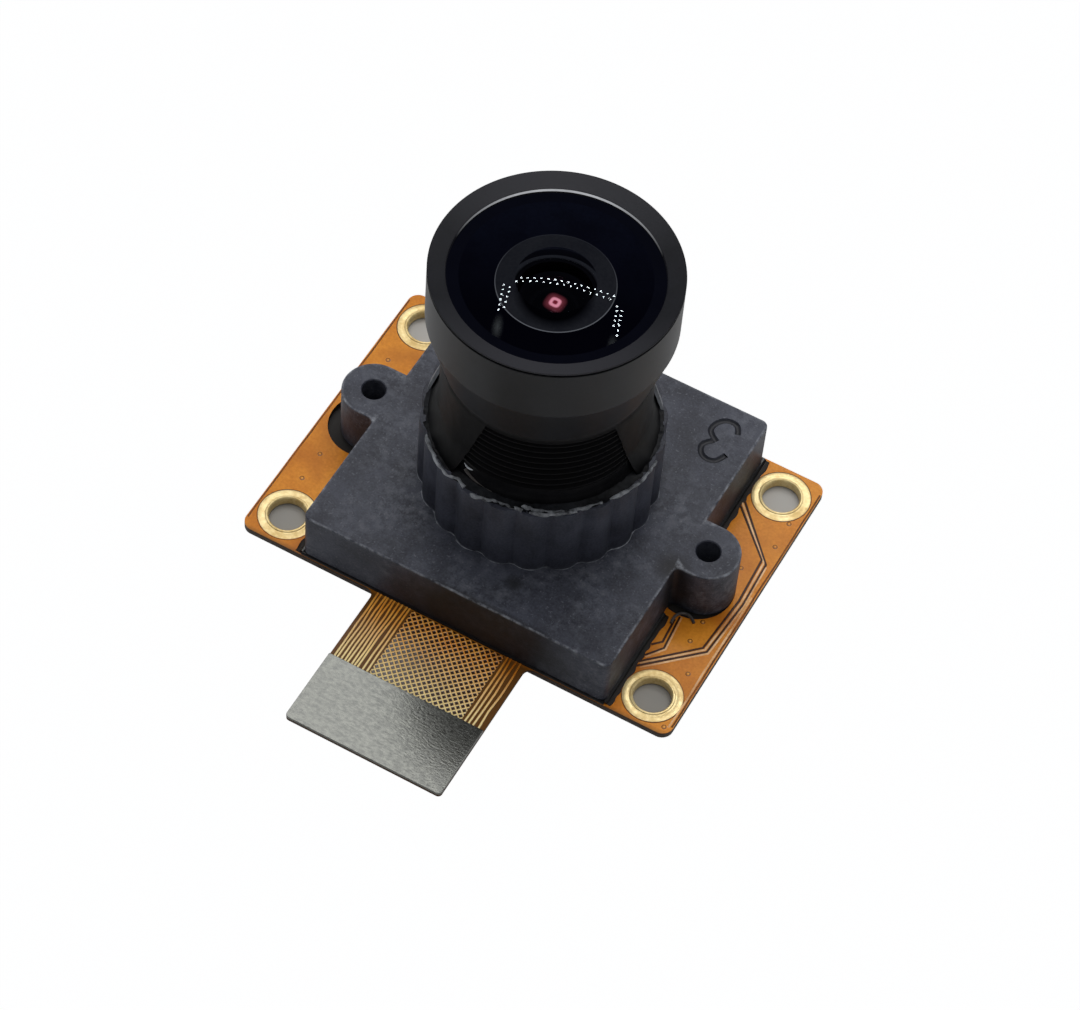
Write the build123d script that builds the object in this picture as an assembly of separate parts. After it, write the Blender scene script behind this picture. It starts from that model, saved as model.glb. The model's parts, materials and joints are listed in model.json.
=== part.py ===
from build123d import *
import math
import os

# Camera module: a screw-in wide-angle lens in a moulded holder, glued to a flexible printed
# circuit whose tail ends in a plug edge. Millimetres, +Z along the lens axis. The origin is
# the centre of the four mounting holes on the underside of the board. The tail points to -Y.

# Board and tail
board_x = 28.0
board_y = 20.0
board_corner_r = 0.7
flex_t = 0.15
stiffener_t = 0.30
hole_inset = 2.0
hole_r = 1.10
sleeve_r = 1.27
sleeve_lip = 0.05
sleeve_flare = 0.06
pad_r = 1.74
pad_t = 0.03
relief_r = 2.28
relief_shift_x = -0.36
relief_shift_y = -0.15
tail_w = 10.0
tail_l = 9.85
tail_root_r = 0.5
tail_corner_r = 0.25
plug_l = 4.85
plug_t = 0.20
contact_count = 24
contact_pitch = 0.40
contact_w = 0.22
contact_l = 2.2
contact_t = 0.03

# Lens holder
holder_x = 19.8
holder_y = 19.7
holder_h = 3.65
holder_corner_r = 0.45
holder_wall = 1.6
holder_edge_r = 0.07
ear_pitch = 22.0
ear_r = 1.90
ear_hole_r = 0.71
ear_root_r = 0.35
collar_h = 5.20
collar_crest_r = 7.02
collar_valley_r = 6.68
lobe_count = 22
lobe_first_angle = -74.2
mouth_bevel = 0.15
cavity_h = 2.05
filter_web_t = 0.75
filter_window_x = 7.0
filter_window_y = 6.0
filter_ledge = 0.8
filter_t = 0.30
filter_clear = 0.05
bead_w = 0.28
bead_h = 0.22
bead_margin = 0.10

# Lens barrel
thread_r = 5.97
thread_clear = 0.03
stem_below_mouth = 4.55
stem_above_mouth = 5.80
taper_h = 3.50
head_h = 3.78
head_r = 6.98
head_ring_seam = 0.08
head_ring_edge = 0.10
head_ring_dish = 0.35
barrel_lip = 0.60
barrel_lip_r = 3.2
lens_fit = 0.02
glue_w = 0.30
glue_h = 1.10

# Lens stack, from the rear lens to the front lens: outer radii, edge heights and bulges
rear_lens_r = 4.20
rear_lens_t = 2.30
rear_lens_front_sag = 0.55
rear_lens_rear_sag = 0.25
rear_spacer_t = 1.20
rear_spacer_bore = 2.9
doublet_r = 4.20
doublet_rear_t = 2.20
doublet_front_t = 2.00
doublet_seam_sag = 0.80
doublet_face_sag = 0.45
stop_t = 0.12
stop_bore = 1.35
third_lens_r = 4.60
third_lens_t = 2.30
third_lens_sag = 0.40
second_spacer_t = 1.80
second_spacer_bore = 2.7
second_lens_r = 4.95
second_lens_t = 1.80
second_lens_front_sag = 0.30
second_lens_bowl = 0.75
front_spacer_t = 1.48
front_spacer_bore = 2.15
front_spacer_mouth_r = 3.40
front_spacer_mouth_drop = 0.12
front_lens_r = 6.20
front_lens_edge_t = 1.10
front_lens_dome = 0.72
front_lens_bowl = 0.95
front_lens_bowl_r = 3.40
front_ring_bore = 5.97

# Image sensor and the parts soldered beside it
package_x = 9.2
package_y = 8.2
package_t = 0.75
package_wall = 0.8
package_floor_t = 0.35
die_x = 6.2
die_y = 5.2
die_t = 0.20
cover_t = 0.40
cover_inset = 0.25
chip_l = 1.00
chip_w = 0.50
chip_t = 0.50
chip_cap_l = 0.22
chip_count = 7
chip_pitch = 1.5
chip_offset = 5.6
regulator_x = 1.6
regulator_y = 1.6
regulator_t = 0.6
regulator_offset = 6.6
regulator_pitch = 2.6

# Levels up the lens axis
flex_bottom = stiffener_t
board_top = flex_bottom + flex_t
holder_top = board_top + holder_h
collar_top = holder_top + collar_h
cavity_top = board_top + cavity_h
bore_bottom = cavity_top + filter_web_t
bore_r = thread_r + thread_clear
stem_bottom = collar_top - stem_below_mouth
stem_top = collar_top + stem_above_mouth
taper_top = stem_top + taper_h
head_top = taper_top + head_h

rear_lens_z = stem_bottom + barrel_lip
rear_spacer_z = rear_lens_z + rear_lens_t
doublet_rear_z = rear_spacer_z + rear_spacer_t
doublet_front_z = doublet_rear_z + doublet_rear_t
stop_z = doublet_front_z + doublet_front_t
third_lens_z = stop_z + stop_t
second_spacer_z = third_lens_z + third_lens_t
second_lens_z = second_spacer_z + second_spacer_t
front_spacer_z = second_lens_z + second_lens_t
front_lens_z = front_spacer_z + front_spacer_t
front_lens_top = front_lens_z + front_lens_edge_t


def band(x, y, t, z, r=0.0):
    """A flat plate centred on the lens axis, with its underside at z."""
    with BuildPart() as part:
        with BuildSketch(Plane.XY.offset(z)):
            if r > 0:
                RectangleRounded(x, y, r)
            else:
                Rectangle(x, y)
        extrude(amount=t)
    return part.part


def turned(points):
    """A solid of revolution about the lens axis from (radius, height) corners."""
    outline = Polyline(*[(r, z) for r, z in points], close=True)
    return revolve(Plane.XZ * make_face(outline), Axis.Z)


def drum(r, z, t, inner=0.0):
    """A disc, or a ring when it has an inner radius."""
    return turned([(inner, z), (r, z), (r, z + t), (inner, z + t)])


def arc_to_axis(r, z, sag):
    """The half arc of a spherical face from its rim at radius r to the lens axis."""
    curve_r = (r * r + sag * sag) / (2 * abs(sag))
    middle = r / 2
    drop = curve_r - math.sqrt(curve_r * curve_r - middle * middle)
    rise = abs(sag) - drop
    side = 1 if sag > 0 else -1
    return ThreePointArc((r, z), (middle, z + side * rise), (0, z + sag))


def lens(r, z, t, front_r, front_sag, rear_r, rear_sag):
    """A lens with flat rims. A positive sag raises that face, a negative one lowers it."""
    front = arc_to_axis(front_r, z + t, front_sag)
    rear = arc_to_axis(rear_r, z, rear_sag)
    edges = [
        rear,
        Line((rear_r, z), (r, z)),
        Line((r, z), (r, z + t)),
        Line((r, z + t), (front_r, z + t)),
        front,
        Line((0, z + t + front_sag), (0, z + rear_sag)),
    ]
    return revolve(Plane.XZ * make_face(edges), Axis.Z)


def mounting_points():
    """The four corner holes: 24 mm apart along the board and 16 mm across it."""
    x = board_x / 2 - hole_inset
    y = board_y / 2 - hole_inset
    return [(sx * x, sy * y) for sy in (-1, 1) for sx in (-1, 1)]


def relief_points():
    """The round cut-outs beside the ears sit a little off the holder, as it was glued."""
    return [(s * ear_pitch / 2 + relief_shift_x, relief_shift_y) for s in (-1, 1)]


def board_cuts():
    """The outline of every hole that goes through the board."""
    with Locations(*mounting_points()):
        Circle(sleeve_r, mode=Mode.SUBTRACT)
    with Locations(*relief_points()):
        Circle(relief_r, mode=Mode.SUBTRACT)


def flex_circuit():
    """The polyimide layer: the board and its tail are one sheet."""
    with BuildPart() as part:
        with BuildSketch(Plane.XY.offset(flex_bottom)) as sheet:
            RectangleRounded(board_x, board_y, board_corner_r)
            with Locations((0, -(board_y + tail_l) / 2)):
                Rectangle(tail_w, tail_l)
            root_y = -board_y / 2
            roots = [v for v in sheet.vertices() if abs(v.Y - root_y) < 0.01 and abs(v.X) < tail_w]
            fillet(roots, tail_root_r)
            tip_y = -board_y / 2 - tail_l
            tips = [v for v in sheet.vertices() if abs(v.Y - tip_y) < 0.01]
            fillet(tips, tail_corner_r)
            board_cuts()
        extrude(amount=flex_t)
    return part.part


def board_stiffener():
    """The stiff plate laminated under the board."""
    with BuildPart() as part:
        with BuildSketch():
            RectangleRounded(board_x, board_y, board_corner_r)
            board_cuts()
        extrude(amount=stiffener_t)
    return part.part


def tail_stiffener():
    """The metal plate on top of the plug end, flush with the tip of the tail."""
    tip_y = -board_y / 2 - tail_l
    with BuildPart() as part:
        with BuildSketch(Plane.XY.offset(board_top)) as plate:
            with Locations((0, tip_y + plug_l / 2)):
                Rectangle(tail_w, plug_l)
            tips = [v for v in plate.vertices() if abs(v.Y - tip_y) < 0.01]
            fillet(tips, tail_corner_r)
        extrude(amount=plug_t)
    return part.part


def contact_fingers():
    """Bare contacts in a row on the underside of the plug end."""
    tip_y = -board_y / 2 - tail_l
    fingers = []
    for i in range(contact_count):
        x = (i - (contact_count - 1) / 2) * contact_pitch
        finger = Pos(x, tip_y + tail_corner_r + contact_l / 2, flex_bottom - contact_t / 2)
        fingers.append(finger * Box(contact_w, contact_l, contact_t))
    return Compound(children=fingers)


def hole_rings():
    """Plated eyelets: a sleeve down through the board, its flared lip, and a pad round it on top."""
    ring = turned([
        (hole_r, 0),
        (sleeve_r, 0),
        (sleeve_r, board_top),
        (pad_r, board_top),
        (pad_r, board_top + pad_t),
        (sleeve_r, board_top + pad_t),
        (sleeve_r, board_top + pad_t + sleeve_lip),
        (hole_r + sleeve_flare, board_top + pad_t + sleeve_lip),
        (hole_r, board_top),
    ])
    return Compound(children=[Pos(x, y, 0) * ring for x, y in mounting_points()])


def holder_outline(grow=0.0):
    """The block and its two ears, in plan."""
    with BuildSketch() as outline:
        RectangleRounded(holder_x + 2 * grow, holder_y + 2 * grow, holder_corner_r + grow)
        with Locations((-ear_pitch / 4, 0), (ear_pitch / 4, 0)):
            Rectangle(ear_pitch / 2, 2 * (ear_r + grow))
        with Locations((-ear_pitch / 2, 0), (ear_pitch / 2, 0)):
            Circle(ear_r + grow)
        wall_x = holder_x / 2 + grow
        roots = [v for v in outline.vertices()
                 if abs(abs(v.X) - wall_x) < 0.01 and abs(abs(v.Y) - ear_r - grow) < 0.01]
        fillet(roots, ear_root_r)
    return outline.sketch


def collar_outline():
    """The grip collar: round lobes that meet in sharp valleys."""
    step = 360 / lobe_count
    with BuildSketch() as outline:
        with BuildLine():
            for i in range(lobe_count):
                a = math.radians(lobe_first_angle + i * step)
                m = a + math.radians(step / 2)
                b = a + math.radians(step)
                ThreePointArc(
                    (collar_valley_r * math.cos(a), collar_valley_r * math.sin(a)),
                    (collar_crest_r * math.cos(m), collar_crest_r * math.sin(m)),
                    (collar_valley_r * math.cos(b), collar_valley_r * math.sin(b)),
                )
        make_face()
    return outline.sketch


def lens_holder():
    """One moulding: a block over the sensor, two screw ears and the collar for the lens."""
    block = extrude(Pos(0, 0, board_top) * holder_outline(), amount=holder_h)
    top = block.faces().sort_by(Axis.Z)[-1]
    block = fillet(top.edges(), holder_edge_r)
    collar = extrude(Pos(0, 0, holder_top - holder_edge_r) * collar_outline(),
                     amount=collar_h + holder_edge_r)
    body = block + collar
    body -= band(holder_x - 2 * holder_wall, holder_y - 2 * holder_wall, cavity_h, board_top, holder_corner_r)
    body -= turned([
        (0, bore_bottom),
        (bore_r, bore_bottom),
        (bore_r, collar_top - mouth_bevel),
        (bore_r + mouth_bevel, collar_top),
        (0, collar_top),
    ])
    body -= band(filter_window_x, filter_window_y, filter_web_t, cavity_top)
    seat_x = filter_window_x + 2 * filter_ledge
    seat_y = filter_window_y + 2 * filter_ledge
    body -= band(seat_x, seat_y, filter_t, bore_bottom - filter_t)
    for s in (-1, 1):
        body -= Pos(s * ear_pitch / 2, 0, 0) * drum(ear_hole_r, board_top, holder_h)
    return body


def adhesive_bead():
    """The glue line squeezed out around the foot of the holder, trimmed to the board."""
    foot = extrude(Pos(0, 0, board_top) * holder_outline(), amount=bead_h)
    grown = extrude(Pos(0, 0, board_top) * holder_outline(bead_w), amount=bead_h, taper=45)
    board = band(board_x - 2 * bead_margin, board_y - 2 * bead_margin, bead_h, board_top)
    bead = (grown & board) - foot
    for x, y in relief_points():
        bead -= Pos(x, y, 0) * drum(relief_r, board_top, bead_h)
    for x, y in mounting_points():
        bead -= Pos(x, y, 0) * drum(pad_r + bead_margin, board_top, bead_h)
    return bead


def rim_drop(r):
    """How far the dished rim lies below its outer edge at radius r."""
    return head_ring_dish * (head_r - r) / (head_r - front_ring_bore)


def lens_barrel():
    """Threaded stem, taper and round head in one turning, bored in steps from the front."""
    seat_z = head_top - head_ring_edge - head_ring_seam
    bore_top_r = front_lens_r + lens_fit
    bore_top_z = seat_z - rim_drop(bore_top_r)
    barrel = turned([
        (0, stem_bottom),
        (thread_r, stem_bottom),
        (thread_r, stem_top),
        (head_r, taper_top),
        (head_r, seat_z),
        (bore_top_r, bore_top_z),
        (0, bore_top_z),
    ])
    steps = [
        (barrel_lip_r, stem_bottom, rear_lens_z),
        (rear_lens_r + lens_fit, rear_lens_z, doublet_rear_z),
        (doublet_r + lens_fit, doublet_rear_z, stop_z),
        (third_lens_r + lens_fit, stop_z, second_spacer_z),
        (second_lens_r + lens_fit, second_spacer_z, front_lens_z),
        (bore_top_r, front_lens_z, bore_top_z),
    ]
    for r, low, high in steps:
        barrel -= drum(r, low, high - low)
    return barrel


def front_ring():
    """The ring that holds the front lens. Its face is dished towards the glass."""
    flange_z = head_top - head_ring_edge
    return turned([
        (front_ring_bore, front_lens_top),
        (front_lens_r, front_lens_top),
        (front_lens_r, flange_z - rim_drop(front_lens_r)),
        (head_r, flange_z),
        (head_r, head_top),
        (front_ring_bore, head_top - head_ring_dish),
    ])


def front_lens():
    """The large front glass: a shallow dome outside and a bowl inside."""
    return lens(front_lens_r, front_lens_z, front_lens_edge_t, front_ring_bore, front_lens_dome,
                front_lens_bowl_r, front_lens_bowl)


def front_spacer():
    """The ring seen through the front glass, with a shallow funnel mouth."""
    return turned([
        (front_spacer_bore, front_spacer_z),
        (second_lens_r, front_spacer_z),
        (second_lens_r, front_lens_z),
        (front_spacer_mouth_r, front_lens_z),
        (front_spacer_bore, front_lens_z - front_spacer_mouth_drop),
    ])


def second_lens():
    return lens(second_lens_r, second_lens_z, second_lens_t, front_spacer_bore, second_lens_front_sag,
                second_spacer_bore, second_lens_bowl)


def second_spacer():
    return drum(second_lens_r, second_spacer_z, second_spacer_t, second_spacer_bore)


def third_lens():
    return lens(third_lens_r, third_lens_z, third_lens_t, second_spacer_bore, third_lens_sag,
                second_spacer_bore, third_lens_sag / 2)


def aperture_stop():
    """The thin washer that sets the aperture."""
    return drum(third_lens_r, stop_z, stop_t, stop_bore)


def doublet_front():
    return lens(doublet_r, doublet_front_z, doublet_front_t, rear_spacer_bore, -doublet_face_sag / 3,
                doublet_r - lens_fit, -doublet_seam_sag)


def doublet_rear():
    """The second glass of the cemented pair. Its front face takes the front glass's bulge."""
    return lens(doublet_r, doublet_rear_z, doublet_rear_t, doublet_r - lens_fit, -doublet_seam_sag,
                rear_spacer_bore, -doublet_face_sag)


def rear_spacer():
    return drum(rear_lens_r, rear_spacer_z, rear_spacer_t, rear_spacer_bore)


def rear_lens():
    return lens(rear_lens_r, rear_lens_z, rear_lens_t, rear_spacer_bore, rear_lens_front_sag / 2,
                barrel_lip_r, -rear_lens_rear_sag)


def thread_glue():
    """The ring of glue that locks the stem in the mouth of the collar."""
    return turned([
        (thread_r, collar_top),
        (thread_r + glue_w, collar_top),
        (thread_r, collar_top + glue_h),
    ])


def infrared_filter():
    """The filter glass glued into its seat over the sensor."""
    seat_x = filter_window_x + 2 * filter_ledge
    seat_y = filter_window_y + 2 * filter_ledge
    return band(seat_x - 2 * filter_clear, seat_y - 2 * filter_clear, filter_t, bore_bottom - filter_t)


def sensor_package():
    """The open-topped package of the image sensor."""
    tub = band(package_x, package_y, package_t, board_top)
    well_x = package_x - 2 * package_wall
    well_y = package_y - 2 * package_wall
    return tub - band(well_x, well_y, package_t - package_floor_t, board_top + package_floor_t)


def sensor_die():
    return band(die_x, die_y, die_t, board_top + package_floor_t)


def sensor_cover_glass():
    return band(package_x - 2 * cover_inset, package_y - 2 * cover_inset, cover_t, board_top + package_t)


def chip_stations():
    """The middle of each capacitor, in two rows beside the sensor."""
    row = [(i - (chip_count - 1) / 2) * chip_pitch for i in range(chip_count)]
    return [Pos(x, side * chip_offset, board_top + chip_t / 2) for side in (-1, 1) for x in row]


def decoupling_capacitors():
    """The ceramic bodies of the small capacitors."""
    body = Box(chip_l - 2 * chip_cap_l, chip_w, chip_t)
    return Compound(children=[spot * body for spot in chip_stations()])


def capacitor_caps():
    """The soldered metal ends of the capacitors."""
    cap = Box(chip_cap_l, chip_w, chip_t)
    ends = [Pos(end * (chip_l - chip_cap_l) / 2, 0, 0) for end in (-1, 1)]
    return Compound(children=[spot * end * cap for spot in chip_stations() for end in ends])


def voltage_regulators():
    """Three small packages along one side of the sensor."""
    placed = []
    for i in (-1, 0, 1):
        spot = Pos(-regulator_offset, i * regulator_pitch, board_top + regulator_t / 2)
        placed.append(spot * Box(regulator_x, regulator_y, regulator_t))
    return Compound(children=placed)


makers = [
    flex_circuit,
    board_stiffener,
    tail_stiffener,
    contact_fingers,
    hole_rings,
    lens_holder,
    adhesive_bead,
    lens_barrel,
    front_ring,
    front_lens,
    front_spacer,
    second_lens,
    second_spacer,
    third_lens,
    aperture_stop,
    doublet_front,
    doublet_rear,
    rear_spacer,
    rear_lens,
    thread_glue,
    infrared_filter,
    sensor_package,
    sensor_die,
    sensor_cover_glass,
    decoupling_capacitors,
    capacitor_caps,
    voltage_regulators,
]

os.makedirs("parts", exist_ok=True)
for maker in makers:
    export_step(maker(), f"parts/{maker.__name__}.step")
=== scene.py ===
"""Camera module: a screw-in wide-angle lens glued into a moulded holder on a small flexible circuit.

The bench works in millimetres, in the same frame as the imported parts, and every finished piece
is scaled to metres when it is shipped.
"""

import json
import logging
import math
import random
from collections.abc import Callable, Iterator, Sequence
from contextlib import contextmanager
from dataclasses import dataclass, field
from enum import Enum

import bmesh
import bpy
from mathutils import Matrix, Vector

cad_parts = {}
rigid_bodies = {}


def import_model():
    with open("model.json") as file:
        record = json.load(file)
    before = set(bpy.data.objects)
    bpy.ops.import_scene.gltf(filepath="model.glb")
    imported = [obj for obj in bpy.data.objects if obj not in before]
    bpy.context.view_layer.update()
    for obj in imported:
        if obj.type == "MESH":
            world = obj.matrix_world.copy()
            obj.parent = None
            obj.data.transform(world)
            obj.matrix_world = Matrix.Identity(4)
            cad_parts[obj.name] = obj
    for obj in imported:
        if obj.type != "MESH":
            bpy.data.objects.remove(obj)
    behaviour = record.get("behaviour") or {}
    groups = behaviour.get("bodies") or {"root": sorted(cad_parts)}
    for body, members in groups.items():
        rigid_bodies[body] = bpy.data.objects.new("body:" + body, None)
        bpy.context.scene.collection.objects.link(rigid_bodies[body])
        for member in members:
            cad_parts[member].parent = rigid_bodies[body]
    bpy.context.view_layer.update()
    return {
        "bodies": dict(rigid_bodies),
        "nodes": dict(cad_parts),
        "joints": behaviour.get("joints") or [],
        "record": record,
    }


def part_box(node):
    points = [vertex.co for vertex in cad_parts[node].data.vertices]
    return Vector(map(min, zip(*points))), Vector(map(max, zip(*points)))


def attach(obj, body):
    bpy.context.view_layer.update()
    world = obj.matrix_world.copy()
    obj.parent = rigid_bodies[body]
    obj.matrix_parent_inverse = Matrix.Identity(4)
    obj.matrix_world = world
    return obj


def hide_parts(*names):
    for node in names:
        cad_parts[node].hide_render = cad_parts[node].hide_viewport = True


log = logging.getLogger("camera_module")

MM = 0.001
BODY = "root"
MERGE_MM = 0.002
FINE_MERGE_MM = 0.0004
SMOOTH_ANGLE = math.radians(32)
TURN = 2 * math.pi
UP = (0.0, 0.0, 1.0)
ORIGIN = (0.0, 0.0, 0.0)
ACROSS = (-0.42, 0.91, 0.0)
BLACK = (0.0, 0.0, 0.0, 1.0)
WHITE = (1.0, 1.0, 1.0, 1.0)
TOUCH = 0.01
UPRIGHT = 0.9

Point = tuple[float, float, float]
Flat = tuple[float, float]
Line = tuple[Flat, ...]
Colour = tuple[float, float, float, float]
Test = Callable[[Vector, Vector], bool]
Piece = bpy.types.Object
Set = bpy.types.Collection
Node = bpy.types.Node
Socket = bpy.types.NodeSocket


class Slot(Enum):
    """The material slots of the record."""

    POLYIMIDE = "polyimide"
    LAMINATE = "dark_laminate"
    PLATE = "steel_plate"
    GOLD = "gold_plating"
    HOLDER = "holder_plastic"
    GLUE = "black_glue"
    ANODISED = "black_anodised"
    GLASS = "coated_glass"
    FILTER = "filter_glass"
    CERAMIC = "sensor_ceramic"
    SILICON = "silicon"
    CAPACITOR = "capacitor_ceramic"
    TIN = "tinned_ends"
    EPOXY = "chip_epoxy"


class Element(Enum):
    """What is picked in edit mode, as the mesh select mode names it."""

    VERTEX = (True, False, False)
    EDGE = (False, True, False)
    FACE = (False, False, True)


class Join(Enum):
    """How two solids are combined."""

    ADD = "UNION"
    CUT = "DIFFERENCE"


def clear_selection() -> None:
    """Leaves nothing selected, so that an operator acts only on what is picked next."""
    bpy.ops.object.select_all(action="DESELECT")


def take(piece: Piece) -> None:
    """Makes one object the only selected one and the active one.

    Args:
        piece: the object to work on.
    """
    clear_selection()
    piece.select_set(True)
    bpy.context.view_layer.objects.active = piece


def fresh(name: str) -> Piece:
    """Names the object that an operator has just added and puts its place into its mesh.

    Args:
        name: the new object's name.

    Returns:
        The object, at the origin.
    """
    piece = bpy.context.object
    piece.name = name
    take(piece)
    bpy.ops.object.transform_apply(location=True, rotation=True, scale=True)
    return piece


def pick_all() -> None:
    """Selects the whole mesh in edit mode."""
    bpy.ops.mesh.select_all(action="SELECT")


@contextmanager
def editing(piece: Piece, element: Element = Element.FACE) -> Iterator[None]:
    """Opens a piece in edit mode with nothing picked, and closes it again.

    Args:
        piece: the mesh object to edit.
        element: what the operators pick.
    """
    take(piece)
    bpy.ops.object.mode_set(mode="EDIT")
    bpy.context.tool_settings.mesh_select_mode = element.value
    bpy.ops.mesh.select_all(action="DESELECT")
    yield
    bpy.ops.object.mode_set(mode="OBJECT")


def at(place: Sequence[float], spot: Flat) -> bool:
    """Tells whether a place is at a spot in plan."""
    return abs(place[0] - spot[0]) < TOUCH and abs(place[1] - spot[1]) < TOUCH


def pick(piece: Piece, test: Test, element: Element = Element.FACE) -> int:
    """Selects the vertices, edges or faces of the mesh in edit mode that pass a test.

    Args:
        piece: the object in edit mode.
        test: takes an element's middle and its normal, or an edge's direction.
        element: what is picked.

    Returns:
        How many were picked.
    """
    bpy.ops.mesh.select_all(action="DESELECT")
    bpy.context.tool_settings.mesh_select_mode = element.value
    mesh = bmesh.from_edit_mesh(piece.data)
    mesh.select_mode = {{Element.VERTEX: "VERT", Element.EDGE: "EDGE", Element.FACE: "FACE"}[element]}
    found = []
    if element is Element.VERTEX:
        found = [v for v in mesh.verts if test(v.co, v.normal)]
    elif element is Element.EDGE:
        for edge in mesh.edges:
            start, end = (v.co for v in edge.verts)
            if test((start + end) / 2, (end - start).normalized()):
                found.append(edge)
    else:
        found = [f for f in mesh.faces if test(f.calc_center_median(), f.normal)]
    for item in found:
        item.select_set(True)
    mesh.select_flush_mode()
    bmesh.update_edit_mesh(piece.data)
    return len(found)


def extrude(by: Point) -> None:
    """Extrudes what is selected."""
    bpy.ops.mesh.extrude_region_move(TRANSFORM_OT_translate={"value": by})


def bevel(width: float, steps: int, affect: str = "EDGES") -> None:
    """Rounds what is selected."""
    bpy.ops.mesh.bevel(offset=width, segments=steps, affect=affect)


def trim(place: Point, away: Point, fill: bool = True) -> None:
    """Cuts off what lies beyond a plane."""
    pick_all()
    bpy.ops.mesh.bisect(plane_co=place, plane_no=away, clear_outer=True, use_fill=fill)


def roughen(offset: float, seed: int) -> None:
    """Moves the selected vertices at random, then evens them out."""
    bpy.ops.transform.vertex_random(offset=offset, seed=seed)
    bpy.ops.mesh.vertices_smooth(factor=0.5, repeat=2)


def resize(factors: Point, about: Point = ORIGIN) -> None:
    """Scales what is selected about a point."""
    bpy.ops.transform.resize(value=factors, center_override=about)


def heal(piece: Piece, threshold: float = MERGE_MM) -> None:
    """Merges doubled vertices and turns every face outwards.

    Args:
        piece: the mesh object.
        threshold: how near two vertices have to be.
    """
    with editing(piece, Element.VERTEX):
        pick_all()
        bpy.ops.mesh.remove_doubles(threshold=threshold)
        bpy.ops.mesh.normals_make_consistent(inside=False)


def apply(piece: Piece, modifier: bpy.types.Modifier) -> None:
    """Applies one modifier to its piece."""
    take(piece)
    bpy.ops.object.modifier_apply(modifier=modifier.name)


def combine(body: Piece, tool: Piece, join: Join) -> None:
    """Combines a solid with a tool solid, which is used up.

    Args:
        body: the solid that stays.
        tool: the solid that is added or cut away.
        join: how they are combined.
    """
    modifier = body.modifiers.new("combine", "BOOLEAN")
    modifier.operation = join.value
    modifier.solver = "MANIFOLD"
    modifier.object = tool
    apply(body, modifier)
    bpy.data.objects.remove(tool)


def chain(name: str, points: Sequence[Point]) -> Piece:
    """Draws a line of edges by moving a single vertex from point to point.

    Args:
        name: the new object's name.
        points: the points in order.

    Returns:
        A mesh object with edges only.
    """
    bpy.ops.mesh.primitive_plane_add(size=1, location=points[0])
    piece = fresh(name)
    with editing(piece, Element.VERTEX):
        pick_all()
        bpy.ops.mesh.merge(type="CENTER")
        for start, end in zip(points, points[1:]):
            extrude(tuple(b - a for a, b in zip(start, end)))
    return piece


def lathe(name: str, profile: Sequence[Flat], steps: int, place: Flat = (0.0, 0.0)) -> Piece:
    """Turns a profile about an upright axis.

    Args:
        name: the new object's name.
        profile: (radius, height) points. One that keeps clear of the axis runs back to its start.
        steps: how many flats go round.
        place: where the axis stands in plan.

    Returns:
        The turned mesh object.
    """
    x, y = place
    closing = [] if min(r for r, _ in profile) == 0 else [profile[0]]
    piece = chain(name, [(x + r, y, z) for r, z in (*profile, *closing)])
    with editing(piece, Element.VERTEX):
        pick_all()
        bpy.ops.mesh.spin(steps=steps, angle=TURN, center=(x, y, 0.0), axis=UP)
    heal(piece, FINE_MERGE_MM)
    return piece


def wall(in_r: float, out_r: float, low: float, high: float) -> list[Flat]:
    """The profile of a plain ring."""
    return [(in_r, low), (out_r, low), (out_r, high), (in_r, high)]


def dome_profile(rim_r: float, rim_z: float, sag: float, steps: int) -> list[Flat]:
    """Points down a spherical face, from the axis out to its rim.

    Args:
        rim_r: radius of the rim.
        rim_z: height of the rim.
        sag: how far the middle stands over the rim.
        steps: how many spans the face has.

    Returns:
        (radius, height) points from the axis to the rim.
    """
    ball_r = (rim_r**2 + sag**2) / (2 * abs(sag))
    side = math.copysign(1.0, sag)
    points = []
    for i in range(steps + 1):
        r = rim_r * i / steps
        drop = ball_r - math.sqrt(ball_r**2 - r**2)
        points.append((r, rim_z + sag - side * drop))
    return points


def tube(
    name: str,
    paths: Sequence[Sequence[Point]],
    radius: float,
    swell: Callable[[int], float] | None = None,
    smooth: bool = False,
    sides: int = 3,
    closed: bool = False,
) -> Piece:
    """Draws round beads along paths.

    Args:
        name: the new object's name.
        paths: one list of points for each bead.
        radius: the bead's radius.
        swell: gives the share of the radius at each point's index.
        smooth: whether the path is a smooth curve through its points' pull.
        sides: how finely the bead is rounded.
        closed: whether each path runs back to its start.

    Returns:
        A mesh object with closed ends.
    """
    drawn = bpy.data.curves.new(name, "CURVE")
    drawn.dimensions = "3D"
    drawn.bevel_depth = radius
    drawn.bevel_resolution = sides
    drawn.use_fill_caps = True
    drawn.resolution_u = 6
    for path in paths:
        spline = drawn.splines.new("NURBS" if smooth else "POLY")
        spline.points.add(len(path) - 1)
        for i, place in enumerate(path):
            spline.points[i].co = (*place, 1.0)
            spline.points[i].radius = swell(i) if swell else 1.0
        if smooth:
            spline.order_u = 3
            spline.use_endpoint_u = True
        spline.use_cyclic_u = closed
    piece = bpy.data.objects.new(name, drawn)
    bpy.context.scene.collection.objects.link(piece)
    take(piece)
    bpy.ops.object.convert(target="MESH")
    piece = bpy.context.object
    piece.name = name
    heal(piece, FINE_MERGE_MM)
    return piece


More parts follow.
